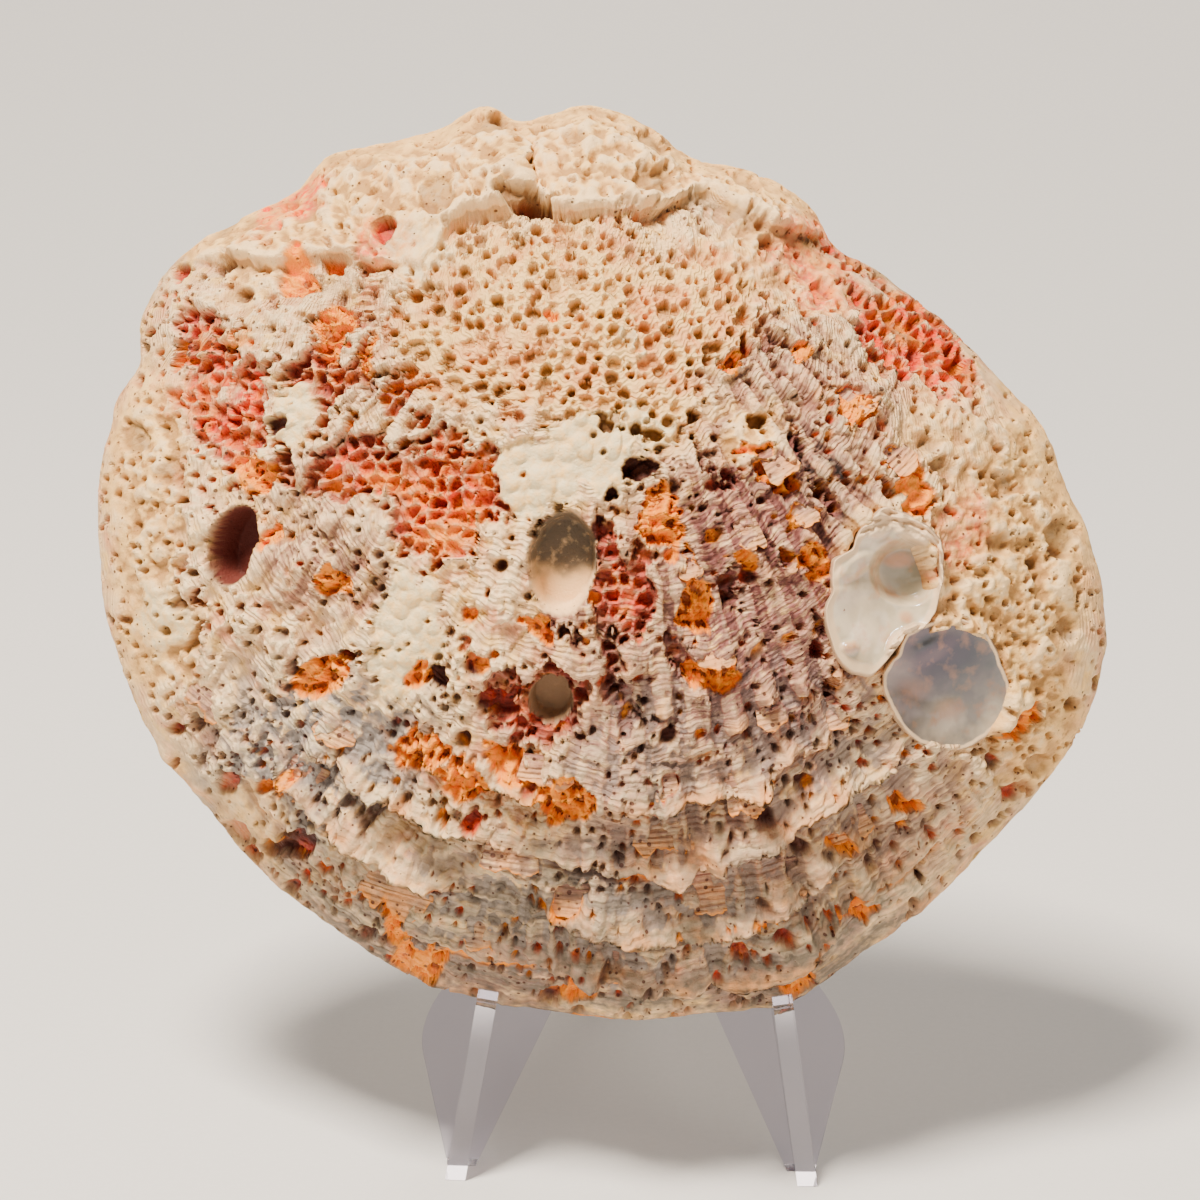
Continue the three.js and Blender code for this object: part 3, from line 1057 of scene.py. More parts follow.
@dataclass
class Zones:
    """Areas of the outside by what grew there or wore there, as they look square-on, in mm."""

    crust: list[Blob] = field(
        default_factory=lambda: ovals(
            (-70, 9, 6, 20), (-67, -12, 6, 9), (63, 3, 12, 25, -8), (66, -22, 8, 12),
            (26, 45, 13, 6, -25, 0.8), (-50, 45, 10, 4, 40, 0.8), (52, 20, 9, 6, -40, 0.7),
            (56, -10, 6, 9, 0, 0.9), (-53, -40, 7, 6, 40, 0.5), (22, 19.5, 3.6, 4.6),
        )
    )  # fmt: skip
    comb: list[Blob] = field(
        default_factory=lambda: ovals(
            (-8, 37, 23, 15), (6, 28, 9, 9), (-22, 33, 12, 9), (14, 38, 8, 9),
        )
    )  # fmt: skip
    plaster: list[Blob] = field(
        default_factory=lambda: ovals(
            (-11, 13, 6.5, 5.5, 0, 1, 0.12), (-2, 17, 9, 5.5, 20, 1, 0.12),
            (4.5, 21, 5, 3, 0, 1, 0.12), (-29.5, -11.8, 5.5, 9.5, -12, 1, 0.15),
            (-48.2, 21.5, 3.2, 5, -25, 1, 0.15), (-66, -9, 3.5, 4.5, 0, 0.9, 0.3),
            (-28, 46.5, 5, 4, 20, 0.9, 0.3), (47, 9, 4, 5.5, -20, 0.7, 0.3),
            (-51.7, 15.6, 1.5, 1.3, 0, 1, 0.2), (4, 34, 0.9, 2.6, 8, 1, 0.2),
        )
    )  # fmt: skip
    red: list[Blob] = field(
        default_factory=lambda: ovals(
            (-60, 27, 8, 11, 20, 0.9), (-55, 17, 7, 6, -30, 0.75), (-44, 27, 4.5, 11, -28, 0.6),
            (-23.5, 9, 9, 10, 0, 1.0), (-37, 13, 9, 5, 0, 0.65), (-48, 52.5, 7, 3, 38, 0.9),
            (33, 46, 8, 8, -45, 0.85), (47, 35, 12, 6, -42, 1.0), (-33, 47, 6, 3.5, 0, 0.7),
            (5, 35, 2.2, 7, 0, 0.7), (9, 31, 1.6, 6, 0, 0.4), (3, -1, 4, 9, 0, 0.6),
            (14, 44, 5, 4, 0, 0.4), (-15, 27, 6, 5, 0, 0.35), (-30, 26, 4, 5, 0, 0.45),
            (-10, -22, 9, 6, 0, 0.5), (-56, 3, 5, 7, 0, 0.45), (54, 6, 4, 7, -35, 0.5),
        )
    )  # fmt: skip
    pockets: list[Blob] = field(
        default_factory=lambda: ovals(
            (37.4, 23, 2.6, 3.2, 0, 1, 0.15), (44.8, 14.2, 3.6, 2.3, -45, 1, 0.15),
            (48, 9.8, 2.6, 2.6, -45, 1, 0.15), (26, 13.2, 3.3, 2.2, -15, 1, 0.15),
            (23, 17, 2, 1.2, 0, 0.8, 0.2), (8.6, 6.4, 2.8, 4.4, 10, 1, 0.2),
            (13.2, -5.8, 2.2, 5, 10, 1, 0.2), (17, -16.4, 4, 2.3, 0, 1, 0.15),
            (29.8, 7.1, 2.4, 1.6, -30, 1, 0.15), (21.5, 1, 2, 2, -30, 0.8, 0.2),
            (31.4, 0.6, 1.7, 3.2, 10, 1, 0.2), (-5, -35.3, 4.3, 2.8, -20, 0.9, 0.25),
            (-13.5, -30.5, 4, 2, -35, 0.7, 0.3), (45.8, -35.3, 2.8, 1.7, -30, 0.8, 0.2),
            (38.9, -52, 2.4, 1.4, 0, 0.8, 0.2), (-9.5, -10.3, 2.3, 1.8, 0, 0.9, 0.2),
            (-41.4, -3.5, 2.8, 2.2, -30, 0.8, 0.25), (-42.9, -17.9, 4.6, 3, 30, 0.8, 0.3),
            (63.9, -23.2, 4, 1.8, 35, 0.9, 0.25), (-27, -29, 4.5, 3, 0, 0.7, 0.3),
            (-20.5, -33, 4, 3, 0, 0.65, 0.3), (-30.5, -54, 1.8, 5.5, 12, 0.9, 0.3),
            (-26, -61, 5, 2.6, 15, 0.85, 0.3), (-2.7, -66, 3.5, 1.4, 0, 0.8, 0.3),
            (30.6, -63.3, 3, 1.8, 0, 0.7, 0.3), (-42.5, 34.5, 2.8, 4.6, -10, 0.75, 0.4),
            (-54, 12, 4, 2.5, -20, 0.5, 0.4), (-47.5, 42.5, 1.6, 3.4, -35, 0.6, 0.4),
            (-37, 31, 1.5, 4, -10, 0.5, 0.4), (-22, 4.5, 6, 3.6, 15, 0.42, 0.5),
            (-33, 11, 4, 2.2, -15, 0.42, 0.5), (-56, 33, 2.6, 2.6, 0, 0.42, 0.5),
            (12.5, 0.5, 1.6, 3.2, 0, 0.6, 0.3), (-8, 37.4, 1, 1.5, 0, 0.8, 0.2),
            (20, 32, 1.3, 2.4, 0, 0.8, 0.2), (30, 32, 1.3, 1.8, 0, 0.7, 0.2),
            (19, 29, 1.6, 1.3, 0, 0.7, 0.2), (36, -41, 2.4, 1.5, -20, 0.6, 0.3),
            (-4, -50, 2.4, 1.5, 0, 0.6, 0.3), (26, -51, 4.5, 1.2, 5, 0.6, 0.3),
            (-50, 3, 3, 2, 0, 0.5, 0.3), (-47, -34, 3, 1.8, 40, 0.5, 0.3),
            (-28, -17.5, 2, 2, 0, 0.7, 0.3),
        )
    )  # fmt: skip
    mauve: list[Blob] = field(
        default_factory=lambda: ovals(
            (24, -4, 19, 29, -8, 1.0, 0.5), (2, -14, 12, 20, 0, 0.7, 0.5),
            (-10, -22, 9, 7, 0, 0.8, 0.4), (-42, -1, 11, 8, 10, 0.55, 0.5),
            (-40, 12, 12, 6, 0, 0.55, 0.5), (28, 28, 14, 10, -20, 0.6, 0.5),
            (16, -42, 22, 10, 0, 0.55, 0.5), (2, -61, 34, 5, 0, 0.6, 0.5),
            (45, -38, 14, 8, 40, 0.5, 0.5), (-30, 26, 9, 9, 0, 0.3, 0.5),
        )
    )  # fmt: skip
    grey: list[Blob] = field(
        default_factory=lambda: ovals(
            (-44, -30, 18, 13, 35, 1.0, 0.5), (0, -54, 38, 12, 0, 0.8, 0.5),
            (32, -28, 18, 14, 0, 0.5, 0.5), (8, -30, 12, 12, 0, 0.5, 0.5),
        )
    )  # fmt: skip
    soot: list[Blob] = field(
        default_factory=lambda: ovals(
            (34, 11, 4.5, 10, 28, 1, 0.5), (27, 19, 3, 6, 28, 0.7, 0.5),
            (12, -28, 8, 14, 5, 0.6, 0.5), (24, -22, 8, 9, 20, 0.5, 0.5),
            (10, -9, 9, 10, 0, 0.5, 0.5),
        )
    )  # fmt: skip
    caves: list[Blob] = field(
        default_factory=lambda: ovals(
            (5.3, 14.2, 2.6, 1.7, 0, 1, 0.15), (0.5, 20.6, 1.3, 1.1, 0, 0.8, 0.2),
            (4.8, 20, 1, 1, 0, 0.8, 0.2), (7.3, 20, 1, 1, 0, 0.8, 0.2),
            (0.6, 11, 1, 0.9, 0, 0.7, 0.2), (13, 22.7, 1.1, 1.1, 0, 0.8, 0.2),
            (20.8, 32.6, 1.3, 2.2, 8, 1, 0.15), (23, 22, 1.3, 1.2, 0, 0.8, 0.2),
            (-45.5, -42.9, 3, 3, 0, 0.9, 0.2), (-33, 49, 1.6, 1.8, 0, 0.8, 0.2),
            (-16, -22, 3.5, 1.5, -20, 0.8, 0.25), (-25, -18, 1.5, 1.5, 0, 0.7, 0.2),
            (-12, 54, 5, 0.9, -8, 0.8, 0.2), (-38.5, -15, 1.2, 1, 0, 0.7, 0.2),
            (-50, 20, 1.5, 2.2, -30, 0.6, 0.3), (48, -3, 1.4, 4.5, -35, 0.5, 0.3),
            (57, -1, 1.6, 1.2, 0, 0.5, 0.3), (61, 12, 2.2, 1, 30, 0.5, 0.3),
            (60, -12, 1.6, 1.2, 0, 0.5, 0.3),
        )
    )  # fmt: skip
    seats: list[Blob] = field(
        default_factory=lambda: ovals(
            (42.8, -3.6, 7.0, 11.0, 8), (52.2, -17.7, 8.6, 8.8),
        )
    )  # fmt: skip
    bores: list[Blob] = field(
        default_factory=lambda: ovals(
            (-56.2, 1.5, 3.1, 5.8, -14, 1, 0.2), (-6.2, -0.3, 4.8, 7.4, -4, 1, 0.14),
            (-7.7, -21.4, 3.2, 3.4, 0, 1, 0.2),
        )
    )  # fmt: skip


def dug(width: np.ndarray, rim: float, depth: np.ndarray | float) -> np.ndarray:
    """Digs where width is positive, to depth, with walls rim wide."""
    return depth * ease(0.0, rim, width)


@dataclass
class Outside:
    """The sculptured outside: dome, relief and the weights that colour it, in mm.

    From fold_start of the way out, the surface folds over the margin and tucks in behind it.
    """

    form: ValveForm
    plane: LeaningPlane
    zones: Zones = field(default_factory=Zones)
    squares: int = 480
    umbo: tuple[float, float] = (-1.0, 58.0)
    fold_start: float = 0.93
    fold_width: float = 0.07
    fold_run: float = 7.5
    rib_pitch: float = 0.062
    growth_span: float = 126.0
    ledge_pitch: float = 8.5
    ledge_height: float = 2.9
    lip_push: float = 1.3
    hood_height: float = 1.25
    flake_height: float = 0.62
    eaten_depth: float = 0.95
    crust_height: float = 2.6
    cave_depth: float = 2.6
    bore_depth: float = 5.4
    seat_depth: float = 4.6
    collar_height: float = 1.6
    crust_edge: list[tuple[float, float]] = field(
        default_factory=lambda: [
            (-80, 48), (-48.5, 41.5), (-42.5, 42.6), (-34, 42), (-27, 42), (-22.4, 47.7),
            (-12.2, 52), (-6.8, 50), (6.7, 50.7), (14.2, 53.5), (23.2, 49.2), (39, 50.4),
            (80, 68),
        ]
    )  # fmt: skip

    def __post_init__(self) -> None:
        """Lays the plain surface out and works out its relief."""
        angle, out = disc_grid(self.squares)
        flat = np.minimum(out / self.fold_start, 1.0)
        fold = np.clip((out - self.fold_start) / self.fold_width, 0, 1)
        limit = self.form.margin_distance(angle)
        down = np.clip(fold / 0.7, 0, 1)
        tuck = np.clip((fold - 0.7) / 0.3, 0, 1)
        away = limit * (flat - 0.025 * tuck) + 0.6 * np.sin(math.pi * down)
        x, y = away * np.cos(angle), self.form.apex_y + away * np.sin(angle)
        z = np.where(fold > 0, 6.0 - 5.0 * down - 0.9 * tuck, self.form.dome(x, y))
        self.points = np.stack([x, y, z], axis=-1)
        self.fold = fold
        self.reach = flat
        run = limit * flat + self.fold_run * fold
        self.x, self.y = run * np.cos(angle), self.form.apex_y + run * np.sin(angle)
        self.seen_x, self.seen_y = self.form.seen(self.x, self.y)
        self.lay_growth()
        self.lay_zones()
        self.height = self.grown_height()
        self.carve(self.pitted())

    def lay_growth(self) -> None:
        """Finds the ribs and the growth lines, which fan out from the umbo."""
        self.off_x, self.off_y = self.x - self.umbo[0], self.umbo[1] - self.y
        self.turn = np.arctan2(self.off_x, self.off_y)
        limit = self.limit_from_umbo(self.turn)
        self.wave = rough(self.x, self.y, 9.0, 3)
        self.ripple = rough(self.x, self.y, 2.6, 5, 3)
        self.ribs = self.turn / self.rib_pitch + 0.18 * self.wave
        self.crest = 0.5 + 0.5 * np.cos(2 * math.pi * self.ribs)
        even = self.growth_span * np.hypot(self.off_x, self.off_y) / limit
        self.growth = even + 1.1 * self.wave + 0.35 * self.ripple + 0.5 * self.crest

    def lay_zones(self) -> None:
        """Works out how strongly each zone covers each point."""
        x, y = self.x, self.y
        zone = {
            name: area(getattr(self.zones, name), self.seen_x, self.seen_y, wander)
            for name, wander in [
                ("crust", 2.2), ("comb", 3.0), ("plaster", 2.6), ("red", 2.6),
                ("pockets", 1.9), ("mauve", 3.0), ("grey", 3.0), ("soot", 1.5),
                ("caves", 0.9), ("bores", 0.2),
            ]
        }  # fmt: skip
        edge = np.interp(x, *np.array(self.crust_edge).T)
        self.above = y - edge + 1.3 * rough(x, y, 5.0, 11)
        zone["roof"] = ease(-0.3, 0.5, self.above)
        zone["crust"] = np.maximum(zone["crust"], zone["roof"])
        zone["comb"] *= 1 - zone["roof"]
        zone["plaster"] *= 1 - 0.3 * zone["roof"]
        zone["skirt"] = ease(-24, -36, self.seen_y + 3 * self.wave) * (1 - zone["crust"])
        zone["bare"] = np.clip(1 - zone["crust"] - zone["plaster"] - zone["comb"], 0, 1)

        # Where sponges have eaten the top layer away, ragged plateaus of it are left standing
        eaten = rough(self.turn * 75, self.growth * 0.55, 4.6, 45, 5) + 0.25 * rough(x, y, 2.0, 49, 3)
        level = 0.62 - 1.25 * zone["red"] - 0.2 * zone["mauve"] + 0.15 * zone["skirt"]
        zone["eroded"] = ease(-0.06, 0.06, eaten - level) * (1 - zone["plaster"])
        zone["eroded"] *= (1 - zone["crust"]) * (1 - 0.85 * zone["comb"])
        self.zone = zone

    def grown_height(self) -> np.ndarray:
        """Lays ribs, ledges, scales, flakes and crust on the dome.

        Returns:
            How far the surface stands off the dome, in mm, before it is bored.
        """
        height = self.ribbed()
        self.raise_ledges(height)
        self.raise_hoods(height)
        self.raise_flakes(height)
        eroded = self.zone["eroded"]
        height = height * (1 - 0.6 * eroded) - self.eaten_depth * eroded
        return self.grown_over(height)

    def ribbed(self) -> np.ndarray:
        """Raises ribs with fine lines, strongest on the right and low down, worn at the hinge.

        Returns:
            Heights in mm.
        """
        x, y, zone, bare = self.x, self.y, self.zone, self.zone["bare"]
        worn = 0.25 + 0.55 * np.maximum(zone["mauve"], zone["skirt"])
        groove = ease(0.42, 0.0, self.crest)
        broken = 0.35 + 0.65 * ease(-0.4, 0.4, rough(x, y, 6.0, 39, 3))
        riblets = 0.12 * np.cos(8 * math.pi * self.ribs)
        height = bare * worn * (1.15 * (1 - groove * broken) + riblets)
        lines = rough(self.turn * 22, self.growth, 1.6, 35, 3)
        height += bare * 0.28 * (1 - np.abs(lines) * 2.2)
        height += bare * (1.15 - 0.7 * zone["mauve"]) * rough(x, y, 6.5, 37, 4)
        return height

    def raise_ledges(self, height: np.ndarray) -> None:
        """Flares each growth stage up to a free, frilled edge that drops to the next.

        Args:
            height: Heights in mm, which are added to.
        """
        ribs, growth, bare, skirt = self.ribs, self.growth, self.zone["bare"], self.zone["skirt"]
        shift = 0.4 * drift(np.floor(ribs + 0.5), growth * 0 + 3, 1.0, 21) * (1 - skirt)
        shift += 0.22 * rough(self.turn * 60, growth * 0.5, 9.0, 23, 3)
        stage = (growth - 102.0 + 0.6 * self.ripple) / self.ledge_pitch + shift
        part = stage - np.floor(stage)
        flare = np.where(part < 0.94, (part / 0.94) ** 2.8, (1 - part) / 0.06)
        strength = ease(-0.35, 0.45, drift(ribs * 0.45, np.floor(stage) * 3.1, 1.0, 33))
        tall = skirt * (0.25 + 0.95 * strength) + 0.9 * self.zone["mauve"] * strength * self.crest**2
        height += bare * self.ledge_height * tall * flare
        self.under = bare * tall * ease(0.16, 0.0, part) * ease(0.1, 0.5, strength)
        height -= 0.9 * self.under
        self.lip = bare * tall * ease(0.6, 0.93, part) * (part < 0.965)

    def raise_hoods(self, height: np.ndarray) -> None:
        """Raises worn scales: short hoods on the ribs, each open below where a sponge moved in.

        Args:
            height: Heights in mm, which are added to.
        """
        away = np.hypot(self.off_x, self.off_y)
        slope_x, slope_y = self.off_x / away, -self.off_y / away
        for pocket in self.zones.pockets:
            if pocket.x < 4 or pocket.y < -25:
                continue
            from_x, from_y = self.seen_x - pocket.x, self.seen_y - pocket.y
            ahead = from_x * slope_x + from_y * slope_y + 0.5 * self.ripple
            aside = np.abs(from_x * slope_y - from_y * slope_x) / (pocket.across + 1.2)
            hood = ease(-8.0, -0.6 * pocket.up, ahead) * (ahead < 0.4 * pocket.up)
            height += self.hood_height * hood * ease(1.25, 0.3, aside + 0.15 * self.wave)

    def raise_flakes(self, height: np.ndarray) -> None:
        """Raises chalky flakes, which lie in thin broken layers with sharp ragged edges.

        Args:
            height: Heights in mm, which are added to.
        """
        x, y, zone = self.x, self.y, self.zone
        layer = 4.2 * rough(x + 0.8 * self.ripple, y, 8.0, 43, 4)
        step = np.floor(layer) + ease(0.0, 0.14, layer - np.floor(layer))
        flaky = zone["bare"] * (1 - 0.8 * zone["red"]) * (1 - 0.75 * zone["mauve"])
        height += self.flake_height * flaky * step
        flake = 1 - np.abs(rough(self.turn * 30, self.growth, 3.0, 41, 3))
        height += 0.32 * flaky * flake**2 * ease(-0.3, 0.4, rough(x, y, 13.0, 47, 2))

    def grown_over(self, height: np.ndarray) -> np.ndarray:
        """Adds the thick knobbly crust and the beaded film of the plaster-like patches.

        Args:
            height: Heights of the bare valve, in mm.

        Returns:
            Heights in mm.
        """
        x, y, roof, plaster = self.x, self.y, self.zone["roof"], self.zone["plaster"]
        knobs = rough(x, y, 8.0, 51) + 0.75 * rough(x, y, 2.4, 57, 3)
        layer = 3.0 * rough(x, y, 5.0, 53, 4)
        step = np.floor(layer) + ease(0.0, 0.3, layer - np.floor(layer))
        height += self.zone["crust"] * (0.85 * knobs + 0.3 * step + 0.42 * rough(x, y, 1.4, 69, 2))
        height += self.crust_height * roof * (1 + 0.3 * rough(x, y, 10.0, 59))
        below_edge = ease(-2.2, -0.3, self.above)
        height -= 1.2 * below_edge * (1 - roof) * ease(-0.3, 0.3, rough(x, y, 11, 61))
        beads = cells(x, y, 2.3, 63)
        dome = np.sqrt(np.clip(1 - (beads.near / 1.25) ** 2, 0, 1))
        film = 0.55 + 0.5 * dome * (beads.pick > 0.3) + 0.3 * rough(x, y, 3.0, 65, 3)
        height = height * (1 - plaster) + film * plaster
        height = height * ease(1.0, 0.86, self.reach) + 0.35 * rough(x, y, 3.4, 67)
        return height + 0.12 * self.ripple

    def limit_from_umbo(self, turn: np.ndarray) -> np.ndarray:
        """Reads the distance from the umbo to the margin.

        Args:
            turn: Angles from straight down, in radians.

        Returns:
            Distances in mm.
        """
        angle = np.linspace(-math.pi, math.pi, 721)
        reach = self.form.margin_distance(angle)
        off_x = reach * np.cos(angle) - self.umbo[0]
        off_y = self.umbo[1] - self.form.apex_y - reach * np.sin(angle)
        turns = np.arctan2(off_x, off_y)
        order = np.argsort(turns)
        return np.interp(turn, turns[order], np.hypot(off_x, off_y)[order])

    def pitted(self) -> np.ndarray:
        """Bores comb pits, sponge cells, pinholes, ragged holes, stained pockets and caves.

        Returns:
            How deep the holes go at each point, in mm.
        """
        x, y, zone = self.x, self.y, self.zone
        warp_x, warp_y = x + 0.3 * rough(x, y, 1.5, 91, 2), y + 0.3 * rough(x, y, 1.5, 93, 2)
        comb = zone["comb"] > 0.4
        round_pits = cells(warp_x, warp_y, 2.1, 101)
        size = 0.4 + 0.75 * round_pits.pick
        holes = [dug((size - round_pits.near) * comb, 0.3, 0.8 + 1.1 * round_pits.odds)]
        small_pits = cells(warp_x, warp_y, 1.35, 103)
        size = 0.25 + 0.35 * small_pits.pick
        holes.append(dug((size - small_pits.near) * comb * (small_pits.odds > 0.35), 0.25, 0.6))

        sponge = cells(warp_x, warp_y, 2.25, 111)
        eaten = np.maximum(zone["eroded"], 0.8 * zone["pockets"]) * (1 - zone["plaster"])
        gap = (sponge.second - sponge.near - 0.3) * ((sponge.pick < 0.25 + 0.7 * eaten) * (eaten > 0.5))
        holes.append(dug(gap, 0.55, 0.7 + 1.3 * sponge.odds * eaten))

        general = np.clip(1 - 0.8 * zone["crust"] - zone["comb"] - zone["plaster"], 0, 1)
        pins = cells(warp_x, warp_y, 2.1, 121)
        crowd = ease(-0.4, 0.4, rough(x, y, 8.0, 125, 3))
        chance = (0.2 + 0.7 * crowd) * general + 0.38 * zone["crust"] + 0.1 * zone["plaster"]
        holes.append(dug((0.32 + 0.5 * pins.odds - pins.near) * (pins.pick < chance), 0.35, 1.3))
        self.pricked = general * (0.4 + 0.6 * crowd)

        many = ease(-0.2, 0.5, rough(x, y, 17.0, 131, 2))
        ragged = cells(warp_x * 0.8 + 3, warp_y, 4.6, 133)
        chance = general * (0.2 + 0.36 * many) + 0.12 * zone["crust"]
        width = 0.5 + 1.1 * ragged.odds + 0.5 * rough(x, y, 1.6, 137, 2) - ragged.near
        holes.append(dug(width * (ragged.pick < chance), 0.7, 1.2 + 0.7 * ragged.odds))

        shallow = cells(warp_x, warp_y, 7.5, 141)
        width = 1.9 + 1.3 * shallow.odds + 1.1 * rough(x, y, 3.0, 143, 3) - shallow.near
        holes.append(dug(width * (shallow.pick < 0.4 * zone["crust"]), 0.9, 1.1))

        self.pocket = ease(0.35, 0.6, zone["pockets"])
        lump = rough(x, y, 1.5, 151, 3)
        holes.append(self.pocket * (1.25 + 1.3 * lump))
        inner = cells(warp_x, warp_y, 2.1, 153)
        gap = inner.second - inner.near - 0.35
        webbed = gap * (self.pocket > 0.6) * (inner.pick > 0.25)
        holes.append(dug(webbed, 0.45, 1.7 + 1.0 * inner.odds))
        holes.append(ease(0.35, 0.7, zone["caves"]) * (self.cave_depth + 0.5 * lump))
        return np.maximum.reduce([np.zeros_like(x), *holes])

    def carve(self, hole: np.ndarray) -> None:
        """Lets the holes, the mussel bores and the cups' seats into the surface.

        Args:
            hole: How deep the holes go at each point, in mm.
        """
        zone, uneaten = self.zone, self.height.copy()
        bore = ease(0.1, 0.9, zone["bores"])
        hole = hole * (1 - bore) + bore * self.bore_depth
        smooth = np.maximum(bore, ease(0.02, 0.3, zone["bores"]))
        calm = ease(0.0, 0.5, self.fold)
        self.height = self.height * (1 - smooth) + 0.25 * smooth * (1 - bore)
        self.height = self.height * (1 - 0.3 * calm) - hole * (1 - 0.75 * calm)
        for seat in self.zones.seats:
            below = ease(1.0, 0.85, seat.distance(self.seen_x, self.seen_y))
            self.height = self.height * (1 - below) - self.seat_depth * below
        knobs = 1 + 0.6 * rough(self.x, self.y, 2.4, 181, 3)
        for seat in self.zones.seats:
            around = seat.distance(self.seen_x, self.seen_y)
            side = self.seen_x - seat.x + self.seen_y - seat.y
            collar = ease(0.92, 1.02, around) * ease(1.34, 1.08, around) * ease(-8, 3, side)
            self.height += self.collar_height * collar * knobs
            zone["crust"] = np.maximum(zone["crust"], 0.8 * collar)
        self.weights = self.weighed(hole, bore, smooth)
        # The relief also sets the painted shade in hollows and the painted highlight on crests
        self.weights["relief"] = (uneaten - blurred(uneaten, 4)) / 0.22

    def weighed(
        self, hole: np.ndarray, bore: np.ndarray, smooth: np.ndarray
    ) -> dict[str, np.ndarray]:
        """Works out the weights that colour the shell.

        Args:
            hole: How deep the holes go at each point, in mm.
            bore: 1 inside the mussel bores and 0 outside.
            smooth: The same, with their smooth rims.

        Returns:
            Numbers at the points, by the names that the material reads.
        """
        x, y, zone = self.x, self.y, self.zone
        depth = np.clip(hole / 2.0, 0, 1) * (1 - bore)
        orange = ease(0.12, 0.6, zone["pockets"]) * (0.55 + 0.45 * self.pocket)
        orange = np.maximum(orange, 0.9 * self.under * ease(-0.2, 0.3, rough(x, y, 6.0, 161, 2)))
        flecks = ease(0.25, 0.5, rough(x, y, 5.0, 163, 3)) * ease(0.35, 0.8, depth) * 0.7
        orange = np.maximum(orange, flecks * (1 - zone["comb"]) * (1 - zone["crust"]))
        dark = 1 - 0.7 * zone["comb"] - 0.45 * zone["crust"]
        laid_bare = np.maximum(zone["eroded"], zone["crust"])
        red = zone["red"] * (1 - zone["plaster"]) * (0.12 + 0.88 * laid_bare)
        stain = ease(-0.1, 0.4, rough(x, y, 7.0, 165, 3)) * 0.65 * ease(0.2, 0.7, depth)
        # Painted shade on the bores: grey-brown over their upper inside walls, lighter below
        silt = ease(0.1, 0.9, (self.seen_y + 3.5) / 4.0 + 0.4 * rough(x, y, 3.0, 171))
        pins = self.pricked + 0.4 * zone["crust"] + 0.2 * zone["plaster"]
        return {
            "growth": self.growth,
            "riblet": self.ribs * 4,
            "crust": zone["crust"],
            "plaster": zone["plaster"],
            "mauve": zone["mauve"] * zone["bare"],
            "grey": zone["grey"] * zone["bare"],
            "soot": zone["soot"] * zone["bare"] * (1 - 0.8 * self.crest),
            "red": np.maximum(red, stain * zone["bare"]),
            "orange": orange * (1 - bore),
            # depth darkens the holes and, through under, the ledges' undersides: painted shade on top
            # of the holes' stain
            "depth": np.maximum(depth, 0.7 * self.under),
            "dark": np.clip(dark, 0, 1),
            "bore": smooth,
            "comb": zone["comb"],
            # Painted shade: darker towards the bottom
            "dust": ease(-14, -62, self.seen_y + 4 * rough(x, y, 9.0, 173)),
            "eroded": zone["eroded"] * (1 - bore),
            "lip": np.clip(self.lip, 0, 1),
            "pins": (1 - bore) * np.clip(pins, 0, 1),
            "bore_red": ease(-20, -30, x) + 0.6 * ease(-12, -16, y),
            "silt": silt * ease(-30, -20, x) + 0.35 * ease(-16, -18, y),
        }

    def surface(self) -> np.ndarray:
        """Raises the plain surface by its relief, with the ledges' lips pushed outwards.

        Returns:
            The grid of points in the valve's plane, in mm.
        """
        normal = smooth_normals(self.points)
        away = np.stack([self.x - self.umbo[0], self.y - self.umbo[1], 0 * self.x], axis=-1)
        away /= np.maximum(np.linalg.norm(away, axis=-1, keepdims=True), 1e-6)
        push = (self.lip_push * blurred(self.lip, 2) * (1 - self.fold))[..., None]
        return self.points + normal * self.height[..., None] + away * push

    def build(self, material: bpy.types.Material) -> None:
        """Builds the outside as four pieces that meet without a seam.

        Args:
            material: The shell's material.
        """
        local = self.surface()
        placed = self.plane.to_frame(local[..., 0], local[..., 1], local[..., 2])
        normals = smooth_normals(placed)
        quads = grid_quads(*placed.shape[:2])
        flat_points = placed.reshape(-1, 3)
        flat_normals = normals.reshape(-1, 3)
        middle = {
            "roof": self.zone["roof"].ravel()[quads].mean(axis=1),
            "x": self.x.ravel()[quads].mean(axis=1),
            "y": self.y.ravel()[quads].mean(axis=1),
        }
        crust = (middle["roof"] > 0.5) & (middle["y"] > 30)
        skirt = ~crust & (middle["y"] < -30)
        parts = {
            "hinge_crust": crust,
            "frilled_skirt": skirt,
            "bored_left_flank": ~crust & ~skirt & (middle["x"] < 0),
            "ribbed_right_flank": ~crust & ~skirt & (middle["x"] >= 0),
        }
        for name, chosen in parts.items():
            used, renumbered = np.unique(quads[chosen], return_inverse=True)
            weights = {label: values.ravel()[used] for label, values in self.weights.items()}
            piece = mesh_object(
                name, flat_points[used], renumbered.reshape(-1, 4), flat_normals[used], weights
            )
            dress(piece, "shell_valve", material)


